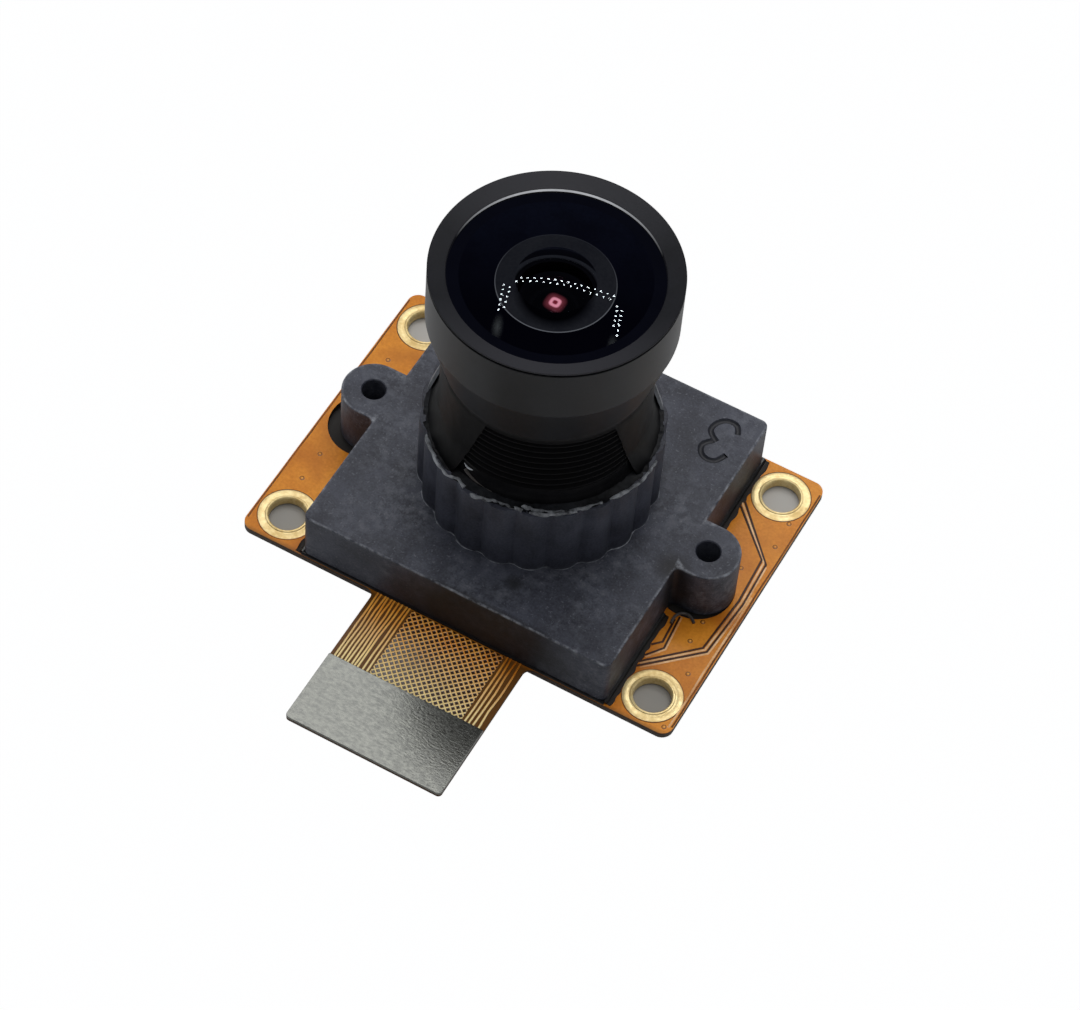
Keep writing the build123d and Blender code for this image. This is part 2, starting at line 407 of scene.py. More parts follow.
def slab(name: str, low: Point, high: Point, corner_r: float = 0.0, steps: int = 6) -> Piece:
    """A flat plate with round corners in plan.

    Args:
        name: the new object's name.
        low: its lowest corner.
        high: its highest corner.
        corner_r: radius of its upright edges.
        steps: how finely they are rounded.

    Returns:
        The plate's mesh object.
    """
    middle = tuple((a + b) / 2 for a, b in zip(low, high))
    bpy.ops.mesh.primitive_cube_add(size=1, location=middle)
    bpy.context.object.scale = tuple(b - a for a, b in zip(low, high))
    piece = fresh(name)
    if corner_r > 0:
        with editing(piece, Element.EDGE):
            pick(piece, lambda place, way: abs(way.z) > UPRIGHT, Element.EDGE)
            bevel(corner_r, steps)
    return piece


def soften(piece: Piece, width: float, steps: int = 2, angle: float = 40.0) -> None:
    """Rounds every edge sharper than an angle.

    Args:
        piece: the mesh object.
        width: width of the rounding.
        steps: how finely it is rounded.
        angle: the least angle that is rounded, in degrees.
    """
    modifier = piece.modifiers.new("soften", "BEVEL")
    modifier.width = width
    modifier.segments = steps
    modifier.limit_method = "ANGLE"
    modifier.angle_limit = math.radians(angle)
    modifier.harden_normals = False
    apply(piece, modifier)


def copies(piece: Piece, moves: Sequence[Flat]) -> list[Piece]:
    """Copies a piece to more places, each copy with a mesh of its own.

    Args:
        piece: the piece that is copied.
        moves: how far each copy stands from it in plan.

    Returns:
        The piece and its copies, numbered from 1.
    """
    stem = piece.name
    piece.name = f"{stem}_1"
    made = [piece]
    for number, (x, y) in enumerate(moves, 2):
        take(piece)
        bpy.ops.object.duplicate(linked=False)
        bpy.ops.transform.translate(value=(x, y, 0.0))
        made.append(fresh(f"{stem}_{number}"))
    return made


def shade(piece: Piece, weighted: bool = False) -> None:
    """Shades a piece smooth up to an angle.

    Args:
        piece: the mesh object.
        weighted: whether the large flats keep their own normals.
    """
    take(piece)
    bpy.ops.object.shade_smooth_by_angle(angle=SMOOTH_ANGLE)
    if weighted:
        modifier = piece.modifiers.new("weigh", "WEIGHTED_NORMAL")
        modifier.keep_sharp = True
        apply(piece, modifier)


def reach(node: str) -> tuple[Vector, Vector]:
    """The lowest and highest corners of a part of the frame, in millimetres."""
    low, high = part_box(node)
    return low / MM, high / MM


def ship(piece: Piece, finish: "Finish", slot: Slot, *nodes: str, weighted: bool = False) -> None:
    """Scales a finished piece to the frame, dresses it and hands it over.

    Args:
        piece: the piece on the bench, in millimetres.
        finish: what it is finished in.
        slot: the record's slot for that finish; not used.
        *nodes: the parts of the frame that it stands for.
        weighted: whether its large flats keep their own normals.
    """
    shade(piece, weighted)
    take(piece)
    piece.scale = (MM, MM, MM)
    bpy.ops.object.transform_apply(location=True, rotation=True, scale=True)
    piece.data.materials.clear()
    piece.data.materials.append(finish.material())
    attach(piece, BODY)
    if nodes:
        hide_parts(*nodes)
    log.info("%s: %d faces in %s", piece.name, len(piece.data.polygons), finish.name)


def dress(frame: dict, node: str, finish: "Finish") -> None:
    """Gives a part that is kept from the frame its finish.

    Args:
        frame: the loaded frame.
        node: the part's name.
        finish: what it is finished in.
    """
    part = frame["nodes"][node]
    if not part.material_slots:
        part.data.materials.append(finish.material())
    for held in part.material_slots:
        held.material = finish.material()
    log.info("%s: kept, in %s", node, finish.name)


def tone(red: int, green: int, blue: int) -> Colour:
    """Turns a screen colour into the linear one that shaders take.

    Args:
        red: 0 to 255.
        green: 0 to 255.
        blue: 0 to 255.

    Returns:
        The linear colour with full cover.
    """
    linear = []
    for channel in (red, green, blue):
        share = channel / 255
        linear.append(share / 12.92 if share <= 0.04045 else ((share + 0.055) / 1.055) ** 2.4)
    return (linear[0], linear[1], linear[2], 1.0)


class Sheet:
    """A node tree with short ways to add nodes and join them."""

    def __init__(self, tree: bpy.types.NodeTree) -> None:
        """Takes the tree that the nodes go into."""
        self.tree = tree

    def put(self, node: Node, socket: str | int, value: object) -> None:
        """Sets or joins one input.

        Args:
            node: the node that has the input.
            socket: the input's name or number.
            value: a socket to join, or a value to set.
        """
        if isinstance(value, Socket):
            self.tree.links.new(value, node.inputs[socket])
        else:
            node.inputs[socket].default_value = value

    def put_all(self, node: Node, values: dict[str | int, object]) -> None:
        """Sets or joins several inputs of a node."""
        for socket, value in values.items():
            self.put(node, socket, value)

    def node(self, kind: str, inputs: dict | None = None, **settings: object) -> Node:
        """Adds a node.

        Args:
            kind: the node's type name, without its ShaderNode start.
            inputs: values or sockets for its inputs.
            **settings: its own settings.

        Returns:
            The node.
        """
        made = self.tree.nodes.new("ShaderNode" + kind)
        for key, value in settings.items():
            setattr(made, key, value)
        self.put_all(made, inputs or {})
        return made

    def math(self, operation: str, first: object, second: object = 0.0) -> Socket:
        """Adds a sum of two values and gives its result."""
        return self.node("Math", {0: first, 1: second}, operation=operation).outputs[0]

    def product(self, first: object, *others: object) -> object:
        """Multiplies values and gives the result.

        Args:
            first: a value or its socket.
            *others: what it is multiplied by.

        Returns:
            The product.
        """
        for other in others:
            first = self.math("MULTIPLY", first, other)
        return first

    def measure(self, operation: str, first: object, second: object = ORIGIN) -> Socket:
        """Adds a sum of two vectors that gives a number, such as a distance."""
        return self.node("VectorMath", {0: first, 1: second}, operation=operation).outputs["Value"]

    def in_plan(self, place: object) -> Socket:
        """Flattens coordinates to the plan."""
        inputs = {0: place, 1: (1.0, 1.0, 0.0)}
        return self.node("VectorMath", inputs, operation="MULTIPLY").outputs["Vector"]

    def split(self, place: object) -> bpy.types.bpy_prop_collection:
        """Splits coordinates into sockets named X, Y and Z."""
        return self.node("SeparateXYZ", {0: place}).outputs

    def mapped(self, place: object, **given: object) -> Socket:
        """Places coordinates inside a moved, turned and stretched box."""
        return self.node("Mapping", {"Vector": place, **given}, vector_type="TEXTURE").outputs["Vector"]

    def noise(self, place: object, scale: object, detail: float = 2.0, roughness: float = 0.5) -> Socket:
        """Adds soft noise."""
        inputs = {"Vector": place, "Scale": scale, "Detail": detail, "Roughness": roughness}
        return self.node("TexNoise", inputs).outputs["Fac"]

    def ramp(self, value: object, low: float, high: float) -> Socket:
        """Stretches a value so that low becomes 0 and high becomes 1, held at both ends."""
        inputs = {"Value": value, "From Min": low, "From Max": high}
        return self.node("MapRange", inputs, clamp=True).outputs[0]

    def mix(self, share: object, first: object, second: object) -> Socket:
        """Mixes two colours."""
        inputs = {0: share, 6: first, 7: second}
        return self.node("Mix", inputs, data_type="RGBA").outputs[2]

    def group(self, tree: bpy.types.NodeTree, inputs: dict) -> Node:
        """Adds a node group with its values.

        Args:
            tree: the group.
            inputs: values or sockets for its inputs.

        Returns:
            Its node.
        """
        made = self.tree.nodes.new("ShaderNodeGroup")
        made.node_tree = tree
        self.put_all(made, inputs)
        return made


def new_group(name: str, values: Sequence[str], results: Sequence[str]) -> tuple[Sheet, dict, Node]:
    """Starts a node group that works on coordinates.

    Args:
        name: the group's name.
        values: the numbers that it takes beside the coordinates.
        results: the numbers that it gives.

    Returns:
        The sheet of its tree, its input sockets by name, and its output node.
    """
    tree = bpy.data.node_groups.new(name, "ShaderNodeTree")
    add = tree.interface.new_socket
    add(name="Vector", in_out="INPUT", socket_type="NodeSocketVector")
    for way, keys in (("INPUT", values), ("OUTPUT", results)):
        for key in keys:
            add(name=key, in_out=way, socket_type="NodeSocketFloat")
    start = tree.nodes.new("NodeGroupInput")
    end = tree.nodes.new("NodeGroupOutput")
    return Sheet(tree), {key: start.outputs[key] for key in ("Vector", *values)}, end


def grain_group() -> bpy.types.NodeTree:
    """A fine grain over a broad mottle.

    Returns:
        The group: Vector, Fine Scale and Broad Scale in, Height and Mottle out.
    """
    name = "surface_grain"
    if name in bpy.data.node_groups:
        return bpy.data.node_groups[name]
    fine_detail, broad_detail = 3.0, 4.0
    fine_share, broad_share = 0.4, 0.6
    faintest, strongest = 0.38, 0.62
    sheet, given, end = new_group(name, ("Fine Scale", "Broad Scale"), ("Height", "Mottle"))
    fine = sheet.noise(given["Vector"], given["Fine Scale"], fine_detail)
    broad = sheet.noise(given["Vector"], given["Broad Scale"], broad_detail)
    sheet.put(end, "Height", fine)
    mottle = sheet.math("ADD", sheet.product(broad, broad_share), sheet.product(fine, fine_share))
    sheet.put(end, "Mottle", sheet.ramp(mottle, faintest, strongest))
    return sheet.tree


def speck_group() -> bpy.types.NodeTree:
    """Sparse small specks, such as dust or worn points.

    Returns:
        The group: Vector, Scale and Cover in, Mask out.
    """
    name = "specks"
    if name in bpy.data.node_groups:
        return bpy.data.node_groups[name]
    edge_width = 0.06
    sheet, given, end = new_group(name, ("Scale", "Cover"), ("Mask",))
    dots = sheet.noise(given["Vector"], given["Scale"])
    over = sheet.math("SUBTRACT", dots, sheet.math("SUBTRACT", 1.0, given["Cover"]))
    sheet.put(end, "Mask", sheet.ramp(over, 0.0, edge_width))
    return sheet.tree


@dataclass(frozen=True)
class Finish:
    """What every finish has: a name, two tones, a gloss and a fine grain."""

    name: str
    base: Colour
    second: Colour
    roughness: float = 0.5
    fine_scale: float = 6000.0
    broad_scale: float = 600.0
    relief: float = 0.10
    relief_depth: float = 0.00002
    gloss_level: float = 0.5

    def material(self) -> bpy.types.Material:
        """Builds the material, or gives the one that is built already.

        Returns:
            The material.
        """
        title = f"{self.name}_finish"
        if title in bpy.data.materials:
            return bpy.data.materials[title]
        made = bpy.data.materials.new(title)
        made.use_nodes = True
        self.paint(Sheet(made.node_tree), made.node_tree.nodes["Principled BSDF"])
        return made

    def coordinates(self, sheet: Sheet) -> Socket:
        """The piece's own coordinates, in metres."""
        return sheet.node("TexCoord").outputs["Object"]

    def grain(self, sheet: Sheet, shader: Node) -> Socket:
        """Adds the grain's relief.

        Args:
            sheet: the material's sheet.
            shader: its shader.

        Returns:
            The mottle, from 0 to 1.
        """
        inputs = {
            "Vector": self.coordinates(sheet),
            "Fine Scale": self.fine_scale,
            "Broad Scale": self.broad_scale,
        }
        grain = sheet.group(grain_group(), inputs)
        bump = sheet.node("Bump", {"Strength": self.relief, "Distance": self.relief_depth})
        sheet.put(bump, "Height", grain.outputs["Height"])
        sheet.put(shader, "Normal", bump.outputs["Normal"])
        return grain.outputs["Mottle"]

    def two_tones(self, sheet: Sheet, shader: Node) -> Socket:
        """Adds the grain and mixes the two tones by its mottle."""
        return sheet.mix(self.grain(sheet, shader), self.base, self.second)

    def lay(self, sheet: Sheet, shader: Node, colour: object, **more: object) -> None:
        """Sets the colour and the gloss."""
        inputs = {"Base Color": colour, "Roughness": self.roughness, "Specular IOR Level": self.gloss_level}
        sheet.put_all(shader, {**inputs, **{key.replace("_", " "): value for key, value in more.items()}})

    def paint(self, sheet: Sheet, shader: Node) -> None:
        """Lays the two tones over the grain."""
        self.lay(sheet, shader, self.two_tones(sheet, shader))


@dataclass(frozen=True)
class MouldedPlastic(Finish):
    """Dull moulded plastic: mottled, dusty, and worn pale along the edges of its top, with painted shade on
    its walls and in its sunk number.
    """

    gloss_level: float = 0.30
    speck: Colour = tone(128, 131, 140)
    speck_scale: float = 6500.0
    speck_cover: float = 0.36
    speck_share: float = 0.30
    smear: Colour = tone(126, 130, 140)
    smear_share: float = 0.62
    spot_noise: Point = (1900.0, 7.0, 0.72)
    spot_span: Flat = (0.42, 0.76)
    patch_noise: Point = (260.0, 4.0, 0.6)
    patch_span: Flat = (0.40, 0.66)
    blot: Colour = tone(26, 28, 32)
    blot_place: Point = (0.00266, -0.00760, 0.00410)
    blot_r: float = 0.0007
    blot_noise: Flat = (1500.0, 3.0)
    blot_span: Flat = (1.4, 0.7)
    blot_share: float = 0.8
    # painted shade: the floor of the sunk number is painted darker
    sunk: Colour = tone(40, 41, 47)
    sunk_low: Flat = (6.70, 5.20)
    sunk_high: Flat = (9.20, 9.30)
    sunk_span: Flat = (-0.01, -0.10)
    # painted shade on the walls: the middle of the front face over the tail, and the wall beside the right
    # ear
    painted_shade: Colour = tone(20, 17, 17)
    painted_shade_spots: tuple[tuple[Point, Point], ...] = (
        ((0.0022, -0.00985, 0.0020), (0.0056, 0.0004, 0.0032)),
        ((0.0098, -0.0021, 0.0022), (0.0013, 0.0013, 0.0030)),
    )
    painted_shade_span: Flat = (1.15, 0.65)
    painted_shade_share: float = 0.75
    wear: Colour = tone(138, 142, 150)
    wear_noise: Point = (1.7, 5.0, 0.7)
    wear_span: Flat = (0.42, 0.66)
    rim_span: Flat = (-0.16, -0.04)
    level_span: Flat = (-0.14, -0.03)
    under_span: Flat = (0.20, 0.10)
    collar_span: Flat = (0.30, 0.05)
    half_size: Flat = (9.9, 9.85)
    ear_x: float = 11.0
    ear_r: float = 1.90
    worn_z: float = 4.10

    def by_height(self, sheet: Sheet, place: object, span: Flat, unit: float = MM) -> Socket:
        """Fades with the height over the block's top."""
        low, high = ((self.worn_z + step) * unit for step in span)
        return sheet.ramp(sheet.split(place)["Z"], low, high)

    def smears(self, sheet: Sheet) -> Socket:
        """Masks pale rubbed spots inside broad rubbed patches.

        Args:
            sheet: the material's sheet.

        Returns:
            A mask, 1 where the plastic is rubbed.
        """
        place = self.coordinates(sheet)
        rubbed = sheet.ramp(sheet.noise(place, *self.spot_noise), *self.spot_span)
        patchy = sheet.ramp(sheet.noise(place, *self.patch_noise), *self.patch_span)
        return sheet.product(rubbed, patchy, self.smear_share)

    def blotted(self, sheet: Sheet) -> Socket:
        """Masks a ragged dark blot on the block, in front of the collar.

        Args:
            sheet: the material's sheet.

        Returns:
            A mask, strongest in the blot.
        """
        place = self.coordinates(sheet)
        away = sheet.math("DIVIDE", sheet.measure("DISTANCE", place, self.blot_place), self.blot_r)
        ragged = sheet.math("ADD", away, sheet.noise(place, *self.blot_noise))
        return sheet.product(sheet.ramp(ragged, *self.blot_span), self.blot_share)

    def painted_shade_mask(self, sheet: Sheet) -> Socket:
        """Masks painted shade on the walls, each patch in a stretched ball.

        Args:
            sheet: the material's sheet.

        Returns:
            A mask, strongest in the painted shade.
        """
        mask: object = 0.0
        for centre, half_size in self.painted_shade_spots:
            place = sheet.mapped(self.coordinates(sheet), Location=centre, Scale=half_size)
            smudge = sheet.ramp(sheet.measure("LENGTH", place), *self.painted_shade_span)
            mask = sheet.math("MAXIMUM", mask, smudge)
        return sheet.product(mask, self.painted_shade_share)

    def lying(self, sheet: Sheet, mask: Socket) -> Socket:
        """Keeps a mask on the block and off the collar that stands on it."""
        return sheet.product(mask, self.by_height(sheet, self.coordinates(sheet), self.collar_span))

    def sunk_shade_mask(self, sheet: Sheet) -> Socket:
        """Masks the floor of the sunk mould number, which is painted darker as shade.

        Args:
            sheet: the material's sheet.

        Returns:
            A mask, 1 on the number's floor.
        """
        place = self.coordinates(sheet)
        mask = self.by_height(sheet, place, self.sunk_span)
        sides = sheet.split(place)
        for axis, low, high in zip("XY", self.sunk_low, self.sunk_high):
            over = sheet.math("GREATER_THAN", sides[axis], low * MM)
            mask = sheet.product(mask, over, sheet.math("LESS_THAN", sides[axis], high * MM))
        return mask

    def edge_wear(self, sheet: Sheet) -> Socket:
        """Masks the worn edges of the block's top, in patches.

        Args:
            sheet: the material's sheet.

        Returns:
            A mask, 1 where the edge is worn.
        """
        scale = (1 / MM, 1 / MM, 1 / MM)
        inputs = {"Vector": self.coordinates(sheet), "Scale": scale}
        place = sheet.node("Mapping", inputs).outputs["Vector"]
        sides = sheet.split(place)
        x, y = (sheet.math("ABSOLUTE", sides[axis]) for axis in "XY")
        past_x, past_y = (
            sheet.math("SUBTRACT", side, half) for side, half in zip((x, y), self.half_size)
        )
        from_ear = sheet.math("SUBTRACT", x, self.ear_x)
        squares = sheet.math("ADD", sheet.math("POWER", from_ear, 2.0), sheet.math("POWER", y, 2.0))
        past_ear = sheet.math("SUBTRACT", sheet.math("SQRT", squares), self.ear_r)
        past = sheet.math("MINIMUM", sheet.math("MAXIMUM", past_x, past_y), past_ear)
        return sheet.product(
            sheet.ramp(past, *self.rim_span),
            self.by_height(sheet, place, self.level_span, 1.0),
            self.by_height(sheet, place, self.under_span, 1.0),
            sheet.ramp(sheet.noise(place, *self.wear_noise), *self.wear_span),
        )

    def paint(self, sheet: Sheet, shader: Node) -> None:
        """Lays the mottle, the dust, the wear and the painted shade over the grain.

        Args:
            sheet: the material's sheet.
            shader: its shader.
        """
        inputs = {"Vector": self.coordinates(sheet), "Scale": self.speck_scale, "Cover": self.speck_cover}
        specks = sheet.group(speck_group(), inputs).outputs["Mask"]
        layers = (
            (self.lying(sheet, self.smears(sheet)), self.smear),
            (sheet.product(self.lying(sheet, specks), self.speck_share), self.speck),
            (self.blotted(sheet), self.blot),
            (self.painted_shade_mask(sheet), self.painted_shade),
            (self.edge_wear(sheet), self.wear),
            (self.sunk_shade_mask(sheet), self.sunk),
        )
        colour = self.two_tones(sheet, shader)
        for mask, over in layers:
            colour = sheet.mix(mask, colour, over)
        self.lay(sheet, shader, colour)


@dataclass(frozen=True)
class Turned(Finish):
    """Black anodised turning, whose thread is darker than its head, with a painted tone set by how it faces
    one way in plan.
    """

    deep: Colour = tone(4, 4, 7)
    deep_z: Flat = (0.01495, 0.0153)
    deep_dull: float = 0.5
    # painted light: a tone mixed in by how the surface faces one way in plan, a painted reflection on the
    # rim and painted shade on the side skins
    painted_facing_tone: Colour = tone(62, 62, 67)
    painted_facing_share: float = 0.0
    painted_facing_span: Flat = (0.35, 1.0)
    painted_facing_way: Point = ACROSS

    def paint(self, sheet: Sheet, shader: Node) -> None:
        """Lays the two tones over the grain, darkens the thread and mixes in the painted facing tone.

        Args:
            sheet: the material's sheet.
            shader: its shader.
        """
        place = self.coordinates(sheet)
        above = sheet.ramp(sheet.split(place)["Z"], *self.deep_z)
        toned = sheet.mix(above, self.deep, self.two_tones(sheet, shader))
        out = sheet.measure("LENGTH", sheet.in_plan(place))
        turn = sheet.math("DIVIDE", sheet.measure("DOT_PRODUCT", place, self.painted_facing_way), out)
        painted_facing_mask = sheet.ramp(sheet.math("ABSOLUTE", turn), *self.painted_facing_span)
        colour = sheet.mix(sheet.product(painted_facing_mask, self.painted_facing_share), toned, self.painted_facing_tone)
        dull = sheet.product(sheet.math("SUBTRACT", 1.0, above), self.deep_dull)
        self.lay(sheet, shader, colour, Roughness=sheet.math("ADD", dull, self.roughness))


@dataclass(frozen=True)
class Coverlay(Finish):
    """Amber polyimide film over copper: darker in clouds, on the tail, and where it is etched."""

    gloss_level: float = 0.12
    blotch: Colour = tone(180, 100, 18)
    cloud_scale: float = 260.0
    cloud_span: Flat = (0.50, 0.74)
    coat: float = 0.10
    coat_roughness: float = 0.20
    tail: Colour = tone(122, 78, 30)
    tail_y: Flat = (-0.0097, -0.0102)
    pit: Colour = tone(58, 32, 12)
    pit_z: Flat = (-1.0, -0.9)

    def paint(self, sheet: Sheet, shader: Node) -> None:
        """Lays the amber with its clouds, the tail tone and the dark pits under a clear coat. The film is
        darker on the tail; on the copper hatch the tail tone is painted light that brightens it towards the
        plate.

        Args:
            sheet: the material's sheet.
            shader: its shader.
        """
        place = self.coordinates(sheet)
        sides = sheet.split(place)
        dark = sheet.ramp(sheet.noise(place, self.cloud_scale), *self.cloud_span)
        cloudy = sheet.mix(dark, self.two_tones(sheet, shader), self.blotch)
        board = sheet.mix(sheet.ramp(sides["Y"], *self.tail_y), cloudy, self.tail)
        colour = sheet.mix(sheet.ramp(sides["Z"], *self.pit_z), self.pit, board)
        self.lay(sheet, shader, colour, Coat_Weight=self.coat, Coat_Roughness=self.coat_roughness)


@dataclass(frozen=True)
class Metal(Finish):
    """Bare or plated metal with a brushed or rolled grain."""

    metallic: float = 1.0
    stretch: Point = (1.0, 1.0, 1.0)
    roughness_spread: float = 0.12

    def coordinates(self, sheet: Sheet) -> Socket:
        """The piece's own coordinates, stretched along the grain."""
        plain = sheet.node("TexCoord").outputs["Object"]
        return sheet.node("Mapping", {"Vector": plain, "Scale": self.stretch}).outputs["Vector"]

    def paint(self, sheet: Sheet, shader: Node) -> None:
        """Lays the two tones and varies the gloss with them.

        Args:
            sheet: the material's sheet.
            shader: its shader.
        """
        mottle = self.grain(sheet, shader)
        rough = sheet.math("ADD", sheet.product(mottle, self.roughness_spread), self.roughness)
        colour = sheet.mix(mottle, self.base, self.second)
        sheet.put_all(shader, {"Base Color": colour, "Metallic": self.metallic, "Roughness": rough})


@dataclass(frozen=True)
class Glass(Finish):
    """Clear optical glass with a faint tint; its thin coating is not drawn."""

    refraction: float = 1.52

    def paint(self, sheet: Sheet, shader: Node) -> None:
        """Sets the clear glass.

        Args:
            sheet: the material's sheet.
            shader: its shader.
        """
        haze = sheet.noise(self.coordinates(sheet), self.broad_scale)
        tint = sheet.mix(haze, self.base, self.second)
        sheet.put_all(shader, {"Base Color": tint, "Roughness": self.roughness})
        sheet.put_all(shader, {"Transmission Weight": 1.0, "IOR": self.refraction})


@dataclass(frozen=True)
class PaintedGlowFinish(Finish):
    """A finish deep in the lens, painted with a faint glow of its own for the light that reaches it, and a
    painted gradient along one way.
    """

    gloss_level: float = 0.0
    glow: float = 1.0
    # painted gradient: the tone that the glow fades to on the near side
    painted_near_tone: Colour = BLACK
    painted_gradient_way: Point = ACROSS
    painted_gradient_span: Flat = (-2.0, -1.0)
    shade: Colour = tone(2, 2, 4)
    shade_centre: Point = ORIGIN
    shade_span: Flat = (-2.0, -1.0)

    def paint(self, sheet: Sheet, shader: Node) -> None:
        """Lays the two tones as a painted glow.

        Args:
            sheet: the material's sheet.
            shader: its shader.
        """
        place = self.coordinates(sheet)
        along = sheet.ramp(sheet.measure("DOT_PRODUCT", place, self.painted_gradient_way), *self.painted_gradient_span)
        away = sheet.measure("DISTANCE", sheet.in_plan(place), self.shade_centre)
        light = sheet.mix(along, self.painted_near_tone, self.two_tones(sheet, shader))
        light = sheet.mix(sheet.ramp(away, *self.shade_span), self.shade, light)
        self.lay(sheet, shader, BLACK, Emission_Color=light, Emission_Strength=self.glow)


@dataclass(frozen=True)
class PupilGlass(Glass):
    """Inner glass whose front face shows the sensor's pink image in a soft halo, as a painted reflection
    that glows.
    """

    centre: Flat = (0.00020, -0.00030)
    half_size: float = 0.00031
    squareness: float = 3.0
    front_z: Flat = (0.0185, 0.0186)
    glow: Colour = tone(236, 150, 166)
    heart: Colour = tone(120, 34, 48)
    heart_span: Flat = (0.35, 0.62)
    halo: Colour = tone(122, 52, 62)
    haze: Colour = tone(4, 4, 6)
    halo_span: Flat = (2.3, 1.0)
    image_span: Flat = (1.25, 0.95)
    strength: float = 1.0

    def paint(self, sheet: Sheet, shader: Node) -> None:
        """Sets the clear glass, then draws a round-cornered square with its halo as faint light.

        Args:
            sheet: the material's sheet.
            shader: its shader.
        """
        super().paint(sheet, shader)
        sides = sheet.split(self.coordinates(sheet))
        powers = []
        for axis, middle in zip("XY", self.centre):
            offset = sheet.math("SUBTRACT", sides[axis], middle)
            share = sheet.math("ABSOLUTE", sheet.math("DIVIDE", offset, self.half_size))
            powers.append(sheet.math("POWER", share, self.squareness))
        away = sheet.math("POWER", sheet.math("ADD", *powers), 1.0 / self.squareness)
        lit = sheet.mix(sheet.ramp(away, *self.heart_span), self.heart, self.glow)
        around = sheet.mix(sheet.ramp(away, *self.halo_span), self.haze, self.halo)
        image = sheet.mix(sheet.ramp(away, *self.image_span), around, lit)
        on_front = sheet.mix(sheet.ramp(sides["Z"], *self.front_z), BLACK, image)
        sheet.put_all(shader, {"Emission Color": on_front, "Emission Strength": self.strength})


HOLDER_PLASTIC = MouldedPlastic(
    "moulded_plastic", tone(42, 44, 54), tone(67, 70, 82), 0.50, 8000.0, 420.0, 0.6
)
GLUE_SKIN = Finish(
    "glue_skin", tone(12, 13, 16), tone(38, 40, 44), 0.42, 4200.0, 500.0, 0.5, gloss_level=0.10
)
THREAD_GLUE = Finish(
    "thread_glue", tone(5, 5, 8), tone(14, 14, 17), 0.42, 4200.0, 500.0, 0.5, gloss_level=0.08
)
# painted highlight: the pale edge of the glue round the collar
GLUE_EDGE_PAINTED_HIGHLIGHT = Finish("dried_glue", tone(150, 154, 160), tone(54, 57, 62), 0.5, 4200.0, 1100.0, 0.8)
FOOT_LINE = Finish("foot_line", tone(146, 150, 158), tone(74, 78, 86), 0.5, 4200.0, 700.0, gloss_level=0.2)
GLINT = Finish("glue_glint", tone(214, 218, 224), tone(190, 196, 202), 0.3)
GLUE_FLAKE = Finish("glue_flake", tone(84, 87, 92), tone(120, 123, 129), 0.5, 4200.0, 900.0, gloss_level=0.2)
GLUE_HAIR = Finish("glue_hair", tone(58, 56, 56), tone(88, 84, 82), 0.34)
CURED_GLUE = Finish("cured_glue", tone(9, 9, 12), tone(16, 16, 19), 0.34, broad_scale=900.0, relief=0.3)
# painted shade and glue: the dark band along the holder's foot, and the drop of glue at its corner
GLUE_AND_FOOT_SHADE = Finish(
    "foot_stain", tone(18, 14, 12), tone(34, 24, 16), 0.45, broad_scale=900.0, gloss_level=0.2
)
BARREL_BLACK = Turned(
    "anodised_turning", tone(22, 23, 26), tone(27, 28, 32), 0.42, relief=0.06, gloss_level=0.25
)
# painted shade: the skins darken where they face along the view, so that they fade into the thread
SIDE_SKIN = Turned(
    "side_skin", tone(9, 10, 12), tone(19, 20, 22), 0.50, 3000.0, 420.0, 0.4, gloss_level=0.10,
    deep_z=(-1.0, -0.9), painted_facing_tone=tone(2, 2, 4), painted_facing_share=1.0, painted_facing_span=(0.20, 0.68),
)
# painted reflection: the rim is lighter where it faces along the view, at its front and back
RIM_BLACK = Turned(
    "anodised_rim", tone(26, 27, 31), tone(30, 31, 36), 0.50, relief=0.05, gloss_level=0.15, painted_facing_share=0.6
)
# painted highlight: the rim's inner wall glows pale on the far side and fades dark towards the near side
PAINTED_RIM_LIGHT = PaintedGlowFinish(
    "rim_wall", tone(176, 178, 182), tone(156, 158, 162), 0.4,
    painted_near_tone=tone(18, 18, 22), painted_gradient_span=(0.0020, 0.0056),
)
# painted shade: a dark band over the glass's outer zone that hides its reflection of the rim, glowing
# faintly in the glass's dark blue
GLASS_EDGE_SHADE = PaintedGlowFinish("glass_edge", tone(7, 8, 15), tone(8, 9, 17), 0.7)
INNER_BLACK = Finish("inner_black", tone(6, 6, 9), tone(9, 9, 13), 0.7)
# painted reflection: the paint behind the glass glows bluish and darkens towards the near side
SEAT_BLACK = PaintedGlowFinish(
    "seat_black", tone(11, 13, 23), tone(8, 9, 17), 0.7, painted_near_tone=tone(3, 3, 8), painted_gradient_span=(-0.002, 0.005)
)
# painted light: a faint near-black glow on the spacer ring
SPACER_BLACK = PaintedGlowFinish("spacer_black", tone(5, 5, 8), tone(7, 7, 10), 0.6)
# painted light: a grey glowing band inside the spacer's mouth, with a soft inner edge
MOUTH_PAINTED_LIGHT = PaintedGlowFinish("mouth_grey", tone(34, 35, 39), tone(29, 30, 34), 0.6, shade_span=(0.00232, 0.00246))
# painted light: the grey ring on the glass's rear face glows, with painted shade inside an off-centre circle
RING_PAINT = PaintedGlowFinish(
    "ring_paint", tone(24, 25, 30), tone(31, 32, 36), 0.6, broad_scale=500.0,
    shade_centre=(0.00036, -0.00078, 0.0), shade_span=(0.00172, 0.00224),
)
# painted highlight: the ring's pale edge glows brighter on the near side
EDGE_GREY = PaintedGlowFinish(
    "edge_grey", tone(40, 41, 46), tone(36, 37, 42), 0.5, painted_near_tone=tone(88, 90, 94), painted_gradient_span=(-0.0022, 0.0022)
)
FRONT_GLASS = Glass("front_glass", tone(236, 240, 246), tone(228, 234, 244), 0.0)
